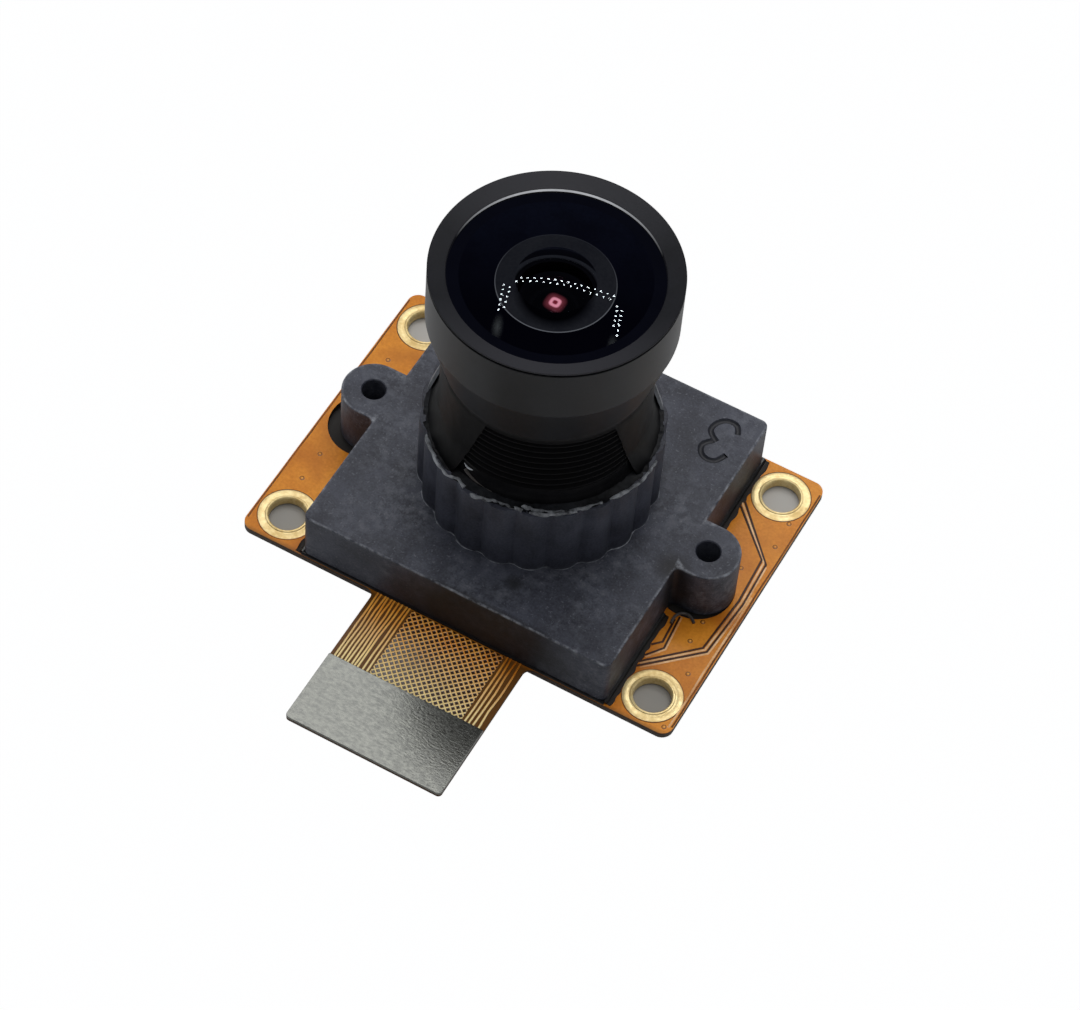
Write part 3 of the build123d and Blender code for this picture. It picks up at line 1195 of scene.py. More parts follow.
# painted reflection: the sensor's pink image glows on its front face
SECOND_GLASS = PupilGlass("second_glass", tone(150, 170, 190), tone(160, 180, 200), 0.02)
INNER_GLASS = Glass("inner_glass", tone(150, 170, 190), tone(160, 180, 200), 0.02)
FILTER_GLASS = Glass("clear_filter", tone(170, 205, 215), tone(180, 210, 220), 0.02)
AMBER = Coverlay(
    "amber_coverlay", tone(232, 150, 42), tone(208, 122, 24), 0.42, broad_scale=300.0,
    tail=tone(104, 66, 24), pit=tone(66, 42, 20), pit_z=(0.000425, 0.000446),
)
# copper under the film, painted paler as a highlight
COPPER_LINE_HIGHLIGHT = Coverlay(
    "copper_line", tone(252, 208, 158), tone(232, 172, 108), 0.26, broad_scale=900.0,
    tail=tone(226, 170, 108),
)
AMBER_RIM = Coverlay("coverlay_edge", tone(120, 72, 30), tone(96, 56, 22), 0.34, broad_scale=900.0)
AMBER_GAP = Coverlay(
    "etched_gap", tone(64, 32, 14), tone(50, 24, 10), 0.34, broad_scale=900.0, blotch=tone(58, 28, 12)
)
# painted light: the hatch and tail lines brighten towards the plate, away from the holder's shadow
TAIL_COPPER = Coverlay(
    "copper_hatch", tone(255, 184, 80), tone(244, 154, 50), 0.22, broad_scale=1400.0, gloss_level=0.6,
    tail=tone(255, 228, 158), tail_y=(-0.0108, -0.0148), pit=tone(56, 31, 12), pit_z=(0.000456, 0.000466),
)
VIA_COPPER = Coverlay(
    "plated_via", tone(248, 178, 78), tone(228, 150, 52), 0.24, broad_scale=1400.0, gloss_level=0.4,
    pit=tone(134, 78, 24), pit_z=(0.000456, 0.000480),
)
LAMINATE = Finish("pressed_laminate", tone(50, 42, 34), tone(66, 54, 42), 0.6)
PLATE = Metal(
    "rolled_plate", tone(118, 119, 114), tone(103, 104, 101), 0.14, 9000.0, 5000.0, 0.26,
    stretch=(0.55, 1.0, 1.0), metallic=0.85, roughness_spread=0.08,
)
GOLD = Metal(
    "flash_gold", tone(236, 214, 156), tone(208, 176, 110), 0.28, 5200.0, 700.0, 0.12, metallic=0.34
)
CERAMIC = Finish("dark_ceramic", tone(86, 82, 78), tone(96, 92, 86), 0.6)
SILICON = Metal("polished_silicon", tone(104, 70, 96), tone(86, 66, 110), 0.12)
CAPACITOR = Finish("tan_ceramic", tone(176, 152, 120), tone(160, 136, 106), 0.5)
TIN = Metal("tinned_metal", tone(206, 206, 204), tone(184, 184, 184), 0.28)
EPOXY = Finish("black_epoxy", tone(40, 40, 42), tone(48, 48, 50), 0.55)


def stage_material(
    name: str, base: Colour, glow: Colour, strength: float, gloss: float
) -> bpy.types.Material:
    """A plain material for the stage, which can shine by itself.

    Args:
        name: its name.
        base: its colour.
        glow: the colour of its light.
        strength: how much it shines.
        gloss: how much it mirrors.

    Returns:
        The material.
    """
    made = bpy.data.materials.new(name)
    made.use_nodes = True
    Sheet(made.node_tree).put_all(made.node_tree.nodes["Principled BSDF"], {
        "Base Color": base,
        "Specular IOR Level": gloss,
        "Emission Color": glow,
        "Emission Strength": strength,
    })
    return made


@dataclass
class Studio:
    """The pale floor, the soft lights and the camera at the photograph's angle."""

    floor_size: float = 6.0
    floor_look: tuple[float, Colour, float] = (-0.0003, (0.9, 0.9, 0.9, 1.0), 0.9)
    bounce_size: float = 1.2
    bounce_look: tuple[float, Colour] = (-0.0002, (0.8, 0.8, 0.8, 1.0))
    under_margin: float = 0.0006
    # painted shade: grey and dark planes under the board, seen through its holes and cut-outs
    board_shade_look: tuple[float, Colour] = (-0.0001, (0.48, 0.47, 0.45, 1.0))
    front_shade_look: tuple[float, Colour] = (-0.00008, (0.32, 0.31, 0.29, 1.0))
    ears_shade_look: tuple[float, Colour] = (-0.00005, (0.045, 0.042, 0.040, 1.0))
    floor_roughness: float = 0.9
    floor_gloss: float = 0.1
    panels: tuple[tuple[str, Point, float, float], ...] = (
        ("overhead", (-0.05, 0.16, 0.42), 0.42, 1.38),
        ("left_fill", (-0.42, -0.12, 0.26), 0.30, 0.30),
        ("front_fill", (0.12, -0.26, 0.46), 0.26, 0.24),
        ("right_fill", (0.42, 0.10, 0.22), 0.30, 0.16),
        ("right_glare", (-0.040, 0.205, 0.300), 0.05, 0.05),
    )
    surround: Colour = (0.95, 0.97, 1.0, 1.0)
    surround_strength: float = 0.14
    target: Vector = field(default_factory=lambda: Vector((0.0, 0.0, 0.00545)))
    azimuth: float = math.radians(24.790)
    elevation: float = math.radians(54.854)
    roll: float = math.radians(5.267)
    distance: float = 0.216184
    slide_right: float = -0.000022
    slide_up: float = -0.002825
    focal_mm: float = 126.18
    sensor_mm: float = 36.0

    def build(self, glassware: Set) -> None:
        """Sets the floor, the lights and the camera.

        Args:
            glassware: the pieces that the soft lights leave out.
        """
        self.floors()
        self.world()
        for panel in self.panels:
            self.panel(*panel, glassware)
        self.camera()

    def plain_plane(
        self, name: str, size: Flat, height: float, shade_of: Colour, glow: float = 0.0
    ) -> Piece:
        """A flat stage piece in one plain shade.

        Args:
            name: its name.
            size: its width and depth, in metres.
            height: its height.
            shade_of: its colour.
            glow: how much it shines by itself.

        Returns:
            The stage piece.
        """
        bpy.ops.mesh.primitive_plane_add(size=1, location=(0.0, 0.0, height))
        bpy.context.object.scale = (*size, 1.0)
        plane = fresh(name)
        paint = stage_material(name, shade_of, WHITE, glow, self.floor_gloss)
        paint.node_tree.nodes["Principled BSDF"].inputs["Roughness"].default_value = self.floor_roughness
        plane.data.materials.append(paint)
        return plane

    def floors(self) -> None:
        """A pale floor that shows as white, the softer grey that it throws back on the object, and painted
        shade under the board: grey planes seen through its holes and a dark band across the middle under the
        ears' cut-outs.
        """
        floor = self.plain_plane("floor", (self.floor_size, self.floor_size), *self.floor_look)
        floor.visible_glossy = False
        floor.visible_diffuse = False
        floor.visible_transmission = False
        bounce = self.plain_plane("floor_bounce", (self.bounce_size, self.bounce_size), *self.bounce_look)
        bounce.visible_camera = False
        low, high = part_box("board_stiffener")
        wide, deep = high.x - low.x - self.under_margin, 2 * high.y - self.under_margin
        self.plain_plane("floor_under_board", (wide, deep), *self.board_shade_look)
        front = self.plain_plane("floor_under_front", (wide, deep / 2), *self.front_shade_look)
        with editing(front):
            pick_all()
            bpy.ops.transform.translate(value=(0.0, -deep / 4, 0.0))
        self.plain_plane("floor_under_ears", (wide, deep / 2), *self.ears_shade_look)

    def world(self) -> None:
        """A pale surround that fills the shadows and shows in no gloss."""
        world = bpy.data.worlds.new("surround")
        world.use_nodes = True
        shader = world.node_tree.nodes["Background"]
        shader.inputs["Color"].default_value = self.surround
        shader.inputs["Strength"].default_value = self.surround_strength
        world.cycles_visibility.glossy = False
        world.cycles_visibility.transmission = False
        bpy.context.scene.world = world
        bpy.context.scene.view_settings.view_transform = "Standard"

    def panel(self, name: str, place: Point, size: float, power: float, left_out: Set) -> None:
        """A soft square lamp that faces the object.

        Args:
            name: the lamp's name.
            place: where it hangs, in metres.
            size: its width.
            power: its power in watts.
            left_out: the pieces that it doesn't light.
        """
        bpy.ops.object.light_add(type="AREA", location=place)
        lamp = bpy.context.object
        lamp.name = name
        lamp.data.shape = "SQUARE"
        lamp.data.size = size
        lamp.data.energy = power
        lamp.rotation_mode = "QUATERNION"
        lamp.rotation_quaternion = (self.target - Vector(place)).to_track_quat("-Z", "Y")
        lamp.light_linking.receiver_collection = left_out

    def camera(self) -> None:
        """Places the camera where the photograph was taken from."""
        a, e, roll = self.azimuth, self.elevation, self.roll
        back = Vector((math.sin(a) * math.cos(e), -math.cos(a) * math.cos(e), math.sin(e)))
        level = Vector((math.cos(a), math.sin(a), 0.0))
        upright = back.cross(level)
        right = level * math.cos(roll) + upright * math.sin(roll)
        up = back.cross(right)
        place = self.target + back * self.distance + right * self.slide_right + up * self.slide_up
        bpy.ops.object.camera_add(location=place)
        camera = bpy.context.object
        camera.name = "photo_camera"
        camera.rotation_mode = "QUATERNION"
        turn = camera.matrix_world.to_3x3()
        turn.col[0], turn.col[1], turn.col[2] = right, up, back
        camera.rotation_quaternion = turn.to_quaternion()
        camera.data.sensor_width = self.sensor_mm
        camera.data.lens = self.focal_mm
        camera.data.clip_start = 0.01
        camera.data.clip_end = 10.0
        bpy.context.scene.camera = camera


@dataclass(frozen=True)
class LampRow:
    """One row of small lamps: its corners in plan and how many lamps it has."""

    count: int
    corners: tuple[Flat, ...]


@dataclass
class LampDots:
    """The rows of small bright lamps that show in the front glass, in millimetres."""

    height: float = 300.0
    dot_half_size: Flat = (1.60, 2.25)
    turn: float = math.radians(24.8)
    strength: float = 19.0
    glow: Colour = (0.82, 0.92, 0.96, 1.0)
    blur_strength: float = 0.9
    blur_falloff: float = 1.6
    blur_half_size: Flat = (9.0, 27.0)
    blurs: tuple[Flat, ...] = ((-105.0, 66.0), (33.0, 112.0))
    rows: tuple[LampRow, ...] = (
        LampRow(15, (
            (-126.2, 163.8), (-110.7, 170.3), (-85.8, 180.7), (-60.1, 187.3), (-34.5, 194.4), (-8.7, 200.9)
        )),
        LampRow(15, (
            (-127.6, 153.0), (-112.5, 161.6), (-87.0, 170.9), (-61.6, 178.9), (-34.8, 183.4), (-9.8, 190.4)
        )),
        LampRow(6, ((-139.1, 140.5), (-119.3, 93.5))),
        LampRow(5, ((-128.9, 138.9), (-115.2, 100.2))),
        LampRow(5, ((3.8, 184.5), (17.0, 147.1))),
        LampRow(6, ((12.1, 181.0), (27.5, 134.9))),
    )

    def build(self, receivers: Set) -> None:
        """Hangs the rows of lamps, and the blurs below the two short pairs.

        Args:
            receivers: the glass that shows them.
        """
        places = [place for row in self.rows for place in self.spread(row)]
        lamps = [self.disc("lamp_dots", place, self.dot_half_size) for place in places]
        self.hang(lamps, "lamp_glow", self.strength, receivers)
        for i, place in enumerate(self.blurs):
            blur = self.disc(f"lamp_blur_{i}", Vector(place), self.blur_half_size)
            self.fade(self.hang([blur], f"blur_glow_{i}", self.blur_strength, receivers), place)

    def spread(self, row: LampRow) -> list[Vector]:
        """Places a row's lamps evenly along its corners.

        Args:
            row: the row.

        Returns:
            The lamps' places in plan.
        """
        spans = [(Vector(a), Vector(b)) for a, b in zip(row.corners, row.corners[1:])]
        step = sum((b - a).length for a, b in spans) / (row.count - 1)
        places, travelled = [], 0.0
        for a, b in spans:
            while travelled <= (b - a).length + MERGE_MM:
                places.append(a.lerp(b, travelled / (b - a).length))
                travelled += step
            travelled -= (b - a).length
        return places

    def disc(self, name: str, place: Vector, half_size: Flat) -> Piece:
        """One round lamp, turned to the camera's side.

        Args:
            name: its name.
            place: where it hangs, in plan.
            half_size: its half width and half length.

        Returns:
            The lamp, in metres.
        """
        at = (place.x * MM, place.y * MM, self.height * MM)
        bpy.ops.mesh.primitive_circle_add(
            vertices=16, radius=MM, fill_type="NGON", location=at, rotation=(0.0, 0.0, self.turn)
        )
        bpy.context.object.scale = (*half_size, 1.0)
        return fresh(name)

    def fade(self, glow: bpy.types.Material, place: Flat) -> None:
        """Lets a blur's glow fall off from its middle.

        Args:
            glow: the blur's material.
            place: the blur's middle, in plan.
        """
        sheet = Sheet(glow.node_tree)
        inside = sheet.mapped(
            sheet.node("TexCoord").outputs["Object"],
            Location=(place[0] * MM, place[1] * MM, self.height * MM),
            Rotation=(0.0, 0.0, self.turn),
            Scale=(*(half * MM for half in self.blur_half_size), 1.0),
        )
        away = sheet.ramp(sheet.measure("LENGTH", inside), 1.0, 0.0)
        share = sheet.math("POWER", away, self.blur_falloff)
        shader = glow.node_tree.nodes["Principled BSDF"]
        sheet.put(shader, "Emission Color", sheet.mix(share, BLACK, self.glow))

    def hang(self, lamps: list[Piece], name: str, strength: float, receivers: Set) -> bpy.types.Material:
        """Joins lamps into one, lights it and lets only the glass show it.

        Args:
            lamps: the lamps.
            name: the name of their glow.
            strength: how bright they are.
            receivers: the glass that shows them.

        Returns:
            Their glow's material.
        """
        clear_selection()
        for lamp in lamps:
            lamp.select_set(True)
        bpy.context.view_layer.objects.active = lamps[0]
        bpy.ops.object.join()
        strip = bpy.context.object
        glow = stage_material(name, BLACK, self.glow, strength, 0.0)
        strip.data.materials.append(glow)
        strip.visible_diffuse = False
        strip.visible_camera = False
        strip.visible_shadow = False
        strip.visible_transmission = False
        strip.light_linking.receiver_collection = receivers
        return glow


@dataclass
class FlexBoard:
    """The amber circuit with its eyelets, printed lines, hatch and plug plate."""

    frame: dict
    hole_r: float = 1.10
    pad_r: float = 1.74
    lip_r: float = 1.27
    pad_t: float = 0.03
    lip_t: float = 0.05
    hole_x: float = 12.0
    hole_y: float = 8.0
    plate_edge: float = 0.03
    plate_corner_r: float = 0.25
    gap_r: float = 0.072
    edge_line_r: float = 0.05
    ridge_r: float = 0.062
    line_flat: float = 0.35
    tail_line_r: float = 0.072
    via_r: float = 0.10
    hatch_low: Flat = (-2.45, -14.95)
    hatch_high: Flat = (3.55, -10.05)
    hatch_pitch: float = 0.29
    hatch_t: float = 0.030
    hatch_line: float = 0.20
    hatch_slope: float = 0.05
    hatch_sink: float = 0.9
    hatch_root: float = 0.02
    rim_end: Flat = (13.93, 9.3)
    rim_waver: float = 0.9965
    rim_spans: int = 16
    tail_top: float = -9.95
    tail_waver: float = 0.045
    tail_spans: int = 4
    tail_x: tuple[float, ...] = (
        -4.72, -4.50, -4.28, -4.06, -3.84, -3.62, -3.40, -3.18, -2.88, -2.64, 3.74, 4.00, 4.30, 4.62,
    )
    ring_steps: int = 72
    via_steps: int = 20
    rim_seed: int = 6
    tail_seed: int = 3
    hatch_turn: float = math.radians(45)
    plate_corner_steps: int = 6
    gap_lines: tuple[Line, ...] = (
        ((10.05, 6.40), (13.07, 3.44), (13.24, 0.22), (12.95, -3.69), (10.04, -6.56)),
        ((10.30, 6.64), (13.43, 3.25), (13.56, 0.10), (13.27, -3.81), (10.16, -6.80)),
        ((10.84, -2.50), (11.05, -4.84), (10.34, -5.82)),
        ((10.66, -2.80), (10.78, -4.51), (10.30, -5.00)),
    )
    ridge_lines: tuple[Line, ...] = (
        ((13.52, 3.10), (13.65, -0.03), (13.38, -3.88), (10.49, -6.68)),
        ((13.76, 0.80), (13.78, -2.40), (13.74, -5.10), (13.79, -7.20), (13.74, -9.40)),
        ((10.18, 6.52), (13.25, 3.34), (13.40, 0.16), (13.11, -3.75), (10.35, -6.44)),
        ((10.94, -2.50), (11.16, -4.88), (10.42, -5.92)),
    )
    via_places: Line = (
        (13.27, 6.52), (13.31, 4.65), (12.29, 2.32), (12.10, -3.65), (12.13, -2.13),
        (13.04, -5.68), (13.52, -9.49), (-12.72, 4.69), (-12.63, -3.33), (-12.63, -5.35),
    )
    # each point of the via's outline: the share of its radius, and the height over the board
    via_outline: Line = (
        (0.0, 0.040), (0.45, 0.036), (0.85, 0.018), (1.05, 0.006), (1.45, 0.005), (1.60, -0.01),
        (0.0, -0.01),
    )

    def __post_init__(self) -> None:
        """Reads the levels of the board from the frame."""
        self.top = reach("flex_circuit")[1].z

    def build(self) -> None:
        """Builds and dresses all that belongs to the board."""
        dress(self.frame, "flex_circuit", AMBER)
        dress(self.frame, "board_stiffener", LAMINATE)
        dress(self.frame, "contact_fingers", GOLD)
        self.eyelets()
        self.pad_rims()
        self.board_gaps()
        self.board_ridges()
        self.vias()
        self.tail_lines()
        self.hatch()
        self.plug_plate()

    def eyelets(self) -> None:
        """Four plated eyelets, each turned with a rolled lip."""
        low = reach("hole_rings")[0].z
        top = self.top
        profile = [
            (self.hole_r, low), (self.lip_r, low), (self.lip_r, top - 0.02), (self.pad_r, top - 0.02),
            (self.pad_r, top + self.pad_t * 0.6), (self.pad_r - 0.05, top + self.pad_t),
            (self.lip_r + 0.16, top + self.pad_t), (self.lip_r + 0.10, top + self.pad_t * 0.5),
            (self.lip_r + 0.03, top + self.pad_t),
            (self.lip_r - 0.01, top + self.pad_t + self.lip_t * 0.8),
            (self.hole_r + 0.08, top + self.pad_t + self.lip_t),
            (self.hole_r + 0.02, top + self.pad_t * 0.8), (self.hole_r, top - 0.08),
        ]
        ring = lathe("eyelet", profile, self.ring_steps, (-self.hole_x, -self.hole_y))
        for each in copies(ring, self.other_holes()):
            ship(each, GOLD, Slot.GOLD, "hole_rings")

    def other_holes(self) -> list[Flat]:
        """How far the other three holes stand from the first one."""
        across, along = 2 * self.hole_x, 2 * self.hole_y
        return [(across, 0.0), (0.0, along), (across, along)]

    def pad_rims(self) -> None:
        """The raised edge of the coverlay round each pad."""
        top = self.top
        profile = [
            (self.pad_r, top - 0.02), (self.pad_r + 0.06, top - 0.02),
            (self.pad_r + 0.055, top + 0.008), (self.pad_r + 0.03, top + 0.014),
            (self.pad_r, top + 0.010),
        ]
        rim = lathe("coverlay_rim", profile, self.ring_steps, (-self.hole_x, -self.hole_y))
        for each in copies(rim, self.other_holes()):
            ship(each, AMBER_RIM, Slot.POLYIMIDE)

    def flat_tubes(self, name: str, paths: Sequence[Sequence[Flat]], radius: float) -> Piece:
        """Low ridges on the board's top, where copper lies under the coverlay.

        Args:
            name: the new object's name.
            paths: the lines in plan.
            radius: half their width.

        Returns:
            The ridges as one mesh object.
        """
        lifted = [[(x, y, self.top) for x, y in path] for path in paths]
        ridges = tube(name, lifted, radius, sides=2)
        with editing(ridges, Element.VERTEX):
            pick_all()
            resize((1.0, 1.0, self.line_flat), (0.0, 0.0, self.top))
        return ridges

    def board_gaps(self) -> None:
        """The dark etched gaps beside the copper lines that loop round the right-hand cut-out."""
        gaps = self.flat_tubes("board_gaps", self.gap_lines, self.gap_r)
        ship(gaps, AMBER_GAP, Slot.POLYIMIDE)
        edges = []
        rolled = random.Random(self.rim_seed)
        rim_x, rim_y = self.rim_end
        for x in (-rim_x, rim_x):
            edge = []
            for i in range(self.rim_spans + 1):
                y = rim_y - 2 * rim_y * i / self.rim_spans
                edge.append((x * rolled.uniform(self.rim_waver, 1.0), y))
            edges.append(edge)
        rims = self.flat_tubes("board_rims", edges, self.edge_line_r)
        ship(rims, AMBER_RIM, Slot.POLYIMIDE)

    def board_ridges(self) -> None:
        """The raised copper beside the gaps, and the pale rim of the board, their paleness partly a painted
        highlight.
        """
        ridges = self.flat_tubes("board_ridges", self.ridge_lines, self.ridge_r)
        ship(ridges, COPPER_LINE_HIGHLIGHT, Slot.POLYIMIDE)

    def vias(self) -> None:
        """Small plated holes filled under the coverlay, each a low bump in a dark ring."""
        profile = [(self.via_r * share, self.top + rise) for share, rise in self.via_outline]
        (x0, y0), *others = self.via_places
        bump = lathe("via", profile, self.via_steps, (x0, y0))
        for each in copies(bump, [(x - x0, y - y0) for x, y in others]):
            ship(each, VIA_COPPER, Slot.POLYIMIDE)

    def tail_lines(self) -> None:
        """The lines that run down the tail, beside the hatch."""
        low, high, spans = self.hatch_low[1], self.tail_top, self.tail_spans
        rolled = random.Random(self.tail_seed)
        lines = []
        for x in self.tail_x:
            bends = [rolled.uniform(-self.tail_waver, self.tail_waver) for _ in range(spans + 1)]
            lines.append([(x + bend, high + (low - high) * i / spans) for i, bend in enumerate(bends)])
        ridges = self.flat_tubes("tail_lines", lines, self.tail_line_r)
        ship(ridges, TAIL_COPPER, Slot.POLYIMIDE)

    def hatch(self) -> None:
        """The crossed copper mesh under the tail's coverlay, with a pit in every diamond."""
        (x0, y0), (x1, y1) = self.hatch_low, self.hatch_high
        middle = ((x0 + x1) / 2, (y0 + y1) / 2, self.top + self.hatch_t)
        side = (x1 - x0) + (y1 - y0)
        cells = round(side / self.hatch_pitch)
        turn = self.hatch_turn
        bpy.ops.mesh.primitive_grid_add(
            x_subdivisions=cells, y_subdivisions=cells, size=side, location=middle, rotation=(0.0, 0.0, turn)
        )
        mesh = fresh("tail_hatch")
        with editing(mesh):
            pick_all()
            bpy.ops.mesh.inset(thickness=self.hatch_pitch * self.hatch_line, use_individual=True)
            bpy.ops.transform.translate(value=(0.0, 0.0, -self.hatch_t * self.hatch_sink))
            bpy.ops.mesh.inset(thickness=self.hatch_pitch * self.hatch_slope, use_individual=True)
            for place, away in (((x0, 0, 0), (-1, 0, 0)), ((x1, 0, 0), (1, 0, 0)),
                                ((0, y0, 0), (0, -1, 0)), ((0, y1, 0), (0, 1, 0))):
                trim(place, away, False)
            pick_all()
            extrude((0.0, 0.0, -self.hatch_t - self.hatch_root))
        heal(mesh, FINE_MERGE_MM)
        ship(mesh, TAIL_COPPER, Slot.POLYIMIDE)

    def plug_plate(self) -> None:
        """The metal plate on the plug end, with lightly broken edges."""
        low, high = reach("tail_stiffener")
        plate = slab("plug_plate", tuple(low), tuple(high))
        with editing(plate, Element.EDGE):
            pick(plate, lambda place, way: abs(way.z) > UPRIGHT and place.y < low.y + TOUCH, Element.EDGE)
            bevel(self.plate_corner_r, self.plate_corner_steps)
        soften(plate, self.plate_edge)
        ship(plate, PLATE, Slot.PLATE, "tail_stiffener", weighted=True)


@dataclass
class Holder:
    """The moulded lens holder with its ears and grip collar, and the glue at its foot."""

    length: float = 19.8
    width: float = 19.7
    corner_r: float = 0.45
    edge_r: float = 0.07
    ear_x: float = 11.0
    ear_r: float = 1.90
    ear_hole_r: float = 0.71
    ear_root_r: float = 0.35
    block_h: float = 3.65
    crest_r: float = 7.02
    valley_r: float = 6.68
    lobes: int = 22
    first_valley: float = math.radians(-74.2)
    wall: float = 1.6
    cavity_h: float = 2.05
    web_t: float = 0.75
    window: Flat = (7.0, 6.0)
    ledge: float = 0.8
    seat_h: float = 0.30
    bore_r: float = 6.0
    mouth_bevel: float = 0.15
    digit_r: float = 0.20
    shade_band_r: float = 0.52
    shade_band_flat: float = 0.10
    bead_r: float = 0.20
    edge_bead_r: float = 0.14
    line_r: float = 0.06
    foot_step: float = 0.35
    corner_steps: int = 6
    ear_steps: int = 16
    collar_root: float = 0.3
    lobe_steps: int = 40
    valley_margin: float = 0.02
    valley_bevel: float = 0.10
    top_bevel: float = 0.05
    line_spans: int = 6
    line_swell: Flat = (0.2, 1.0)
    cut_margin: float = 1.0
    window_margin: float = 0.5
    seat_margin: float = 0.4
    ear_mouth: float = 0.06
    bore_steps: int = 128
    ear_hole_steps: int = 48
    digit_share: float = 0.3
    bead_swell: Flat = (0.86, 1.0)
    bead_points: int = 400
    curl_z: float = 0.10
    curl_r: float = 0.09
    drop_z: float = -0.05
    drop_h: float = 0.075
    drop_edge: float = 0.02
    cut_out_y: float = 2.75
    line_seed: int = 9
    bead_seed: int = 4
    digit_sides: int = 5
    digit_upper: Line = (
        (8.66, 8.11), (8.50, 8.62), (8.06, 8.80), (7.50, 8.66), (7.12, 8.06), (7.16, 7.44), (7.84, 7.06),
    )
    digit_lower: Line = (
        (7.66, 7.04), (7.16, 6.62), (7.28, 6.05), (7.62, 5.72), (8.10, 5.66), (8.52, 5.86), (8.75, 6.50),
    )
    curl_line: Line = (
        (10.61, -3.20), (10.56, -2.75), (10.66, -2.45), (10.88, -2.24), (11.17, -2.18), (11.48, -2.27),
        (11.74, -2.52),
    )
    drop_outline: Line = (
        (-10.34, -9.90), (-10.28, -9.62), (-10.10, -9.50), (-9.80, -9.44), (-9.74, -9.95),
    )

    def __post_init__(self) -> None:
        """Reads the holder's levels from the frame."""
        low, high = reach("lens_holder")
        self.foot = low.z
        self.collar_top = high.z
        self.block_top = self.foot + self.block_h

    def build(self) -> None:
        """Builds and dresses the holder and its glue."""
        self.moulding()
        self.collar_line()
        self.foot_glue()
        self.stray_glue()

    def plan(self, name: str) -> Piece:
        """The outline of the block and its ears, as one flat face at the foot.

        Args:
            name: the new object's name.

        Returns:
            The flat mesh object.
        """
        half_x, half_y = self.length / 2, self.width / 2
        bpy.ops.mesh.primitive_plane_add(size=1, location=(0.0, 0.0, self.foot))
        bpy.context.object.scale = (self.length, self.width, 1.0)
        piece = fresh(name)
        with editing(piece, Element.EDGE):
            for y in (-self.ear_r, self.ear_r):
                pick_all()
                bpy.ops.mesh.bisect(plane_co=(0.0, y, 0.0), plane_no=(0.0, 1.0, 0.0))
            for side in (-1, 1):
                middle = (side * half_x, 0.0)
                pick(piece, lambda place, way: at(place, middle), Element.EDGE)
                extrude((side * (self.ear_x + self.ear_r - half_x), 0.0, 0.0))
            pick_all()
            bpy.ops.mesh.dissolve_limited(angle_limit=math.radians(1))
        rounds = [
            (lambda p: at((abs(p.x), abs(p.y)), (half_x, half_y)), self.corner_r, self.corner_steps),
            (lambda p: at((abs(p.x), p.y), (half_x, -self.ear_r)), self.ear_root_r, self.corner_steps),
            (lambda p: abs(p.x) > self.ear_x + 1, self.ear_r - 0.001, self.ear_steps),
        ]
        for test, radius, steps in rounds:
            with editing(piece, Element.VERTEX):
                pick(piece, lambda place, way: test(place), Element.VERTEX)
                bevel(radius, steps, "VERTICES")
        heal(piece)
        return piece

    def collar(self) -> Piece:
        """The grip collar: one round lobe drawn, then spun round the lens axis and raised.

        Returns:
            The collar as a solid.
        """
        half_step = math.pi / self.lobes
        chord_x = self.valley_r * math.cos(half_step)
        half_chord = self.valley_r * math.sin(half_step)
        rise = self.crest_r - chord_x
        lobe_r = (half_chord**2 + rise**2) / (2 * rise)
        middle = self.first_valley + half_step
        way = Vector((math.cos(middle), math.sin(middle), 0.0))
        centre = way * (self.crest_r - lobe_r)
        sunk = self.block_top - self.collar_root
        bpy.ops.mesh.primitive_circle_add(
            vertices=self.lobe_steps, radius=lobe_r, fill_type="NOTHING", location=(centre.x, centre.y, sunk)
        )
        piece = fresh("collar")
        with editing(piece, Element.VERTEX):
            pick_all()
            bpy.ops.mesh.bisect(plane_co=way * chord_x, plane_no=way, clear_inner=True)
            pick_all()
            bpy.ops.mesh.spin(steps=self.lobes, dupli=True, angle=TURN, center=ORIGIN, axis=UP)
            pick_all()
            bpy.ops.mesh.remove_doubles(threshold=TOUCH)
            bpy.ops.mesh.edge_face_add()
        with editing(piece):
            pick_all()
            extrude((0.0, 0.0, self.collar_top - sunk))
        heal(piece)
        with editing(piece, Element.EDGE):
            inner = self.valley_r + self.valley_margin
            pick(piece, lambda place, way: abs(way.z) > UPRIGHT and place.xy.length < inner, Element.EDGE)
            bevel(self.valley_bevel, 2)
        with editing(piece, Element.EDGE):
            top = self.collar_top - TOUCH
            pick(piece, lambda place, way: place.z > top, Element.EDGE)
            bevel(self.top_bevel, 2)
        return piece

    def collar_line(self) -> None:
        """The pale line round the foot of the collar, which follows its lobes."""
        half_step = math.pi / self.lobes
        rise = self.crest_r - self.valley_r * math.cos(half_step)
        lobe_r = ((self.valley_r * math.sin(half_step)) ** 2 + rise**2) / (2 * rise)
        centre_r, spans = self.crest_r - lobe_r, self.line_spans
        path = []
        for i in range(self.lobes * spans):
            off = (i % spans + 0.5) / spans * 2 * half_step - half_step
            r = centre_r * math.cos(off) + math.sqrt(lobe_r**2 - (centre_r * math.sin(off)) ** 2)
            angle = self.first_valley + (2 * (i // spans) + 1) * half_step + off
            path.append((r * math.cos(angle), r * math.sin(angle), self.block_top))
        rolled = random.Random(self.line_seed)
        swell = [rolled.uniform(*self.line_swell) for _ in path]
        line = tube("collar_line", [path], self.line_r, lambda i: swell[i], sides=2, closed=True)
        ship(line, FOOT_LINE, Slot.HOLDER)

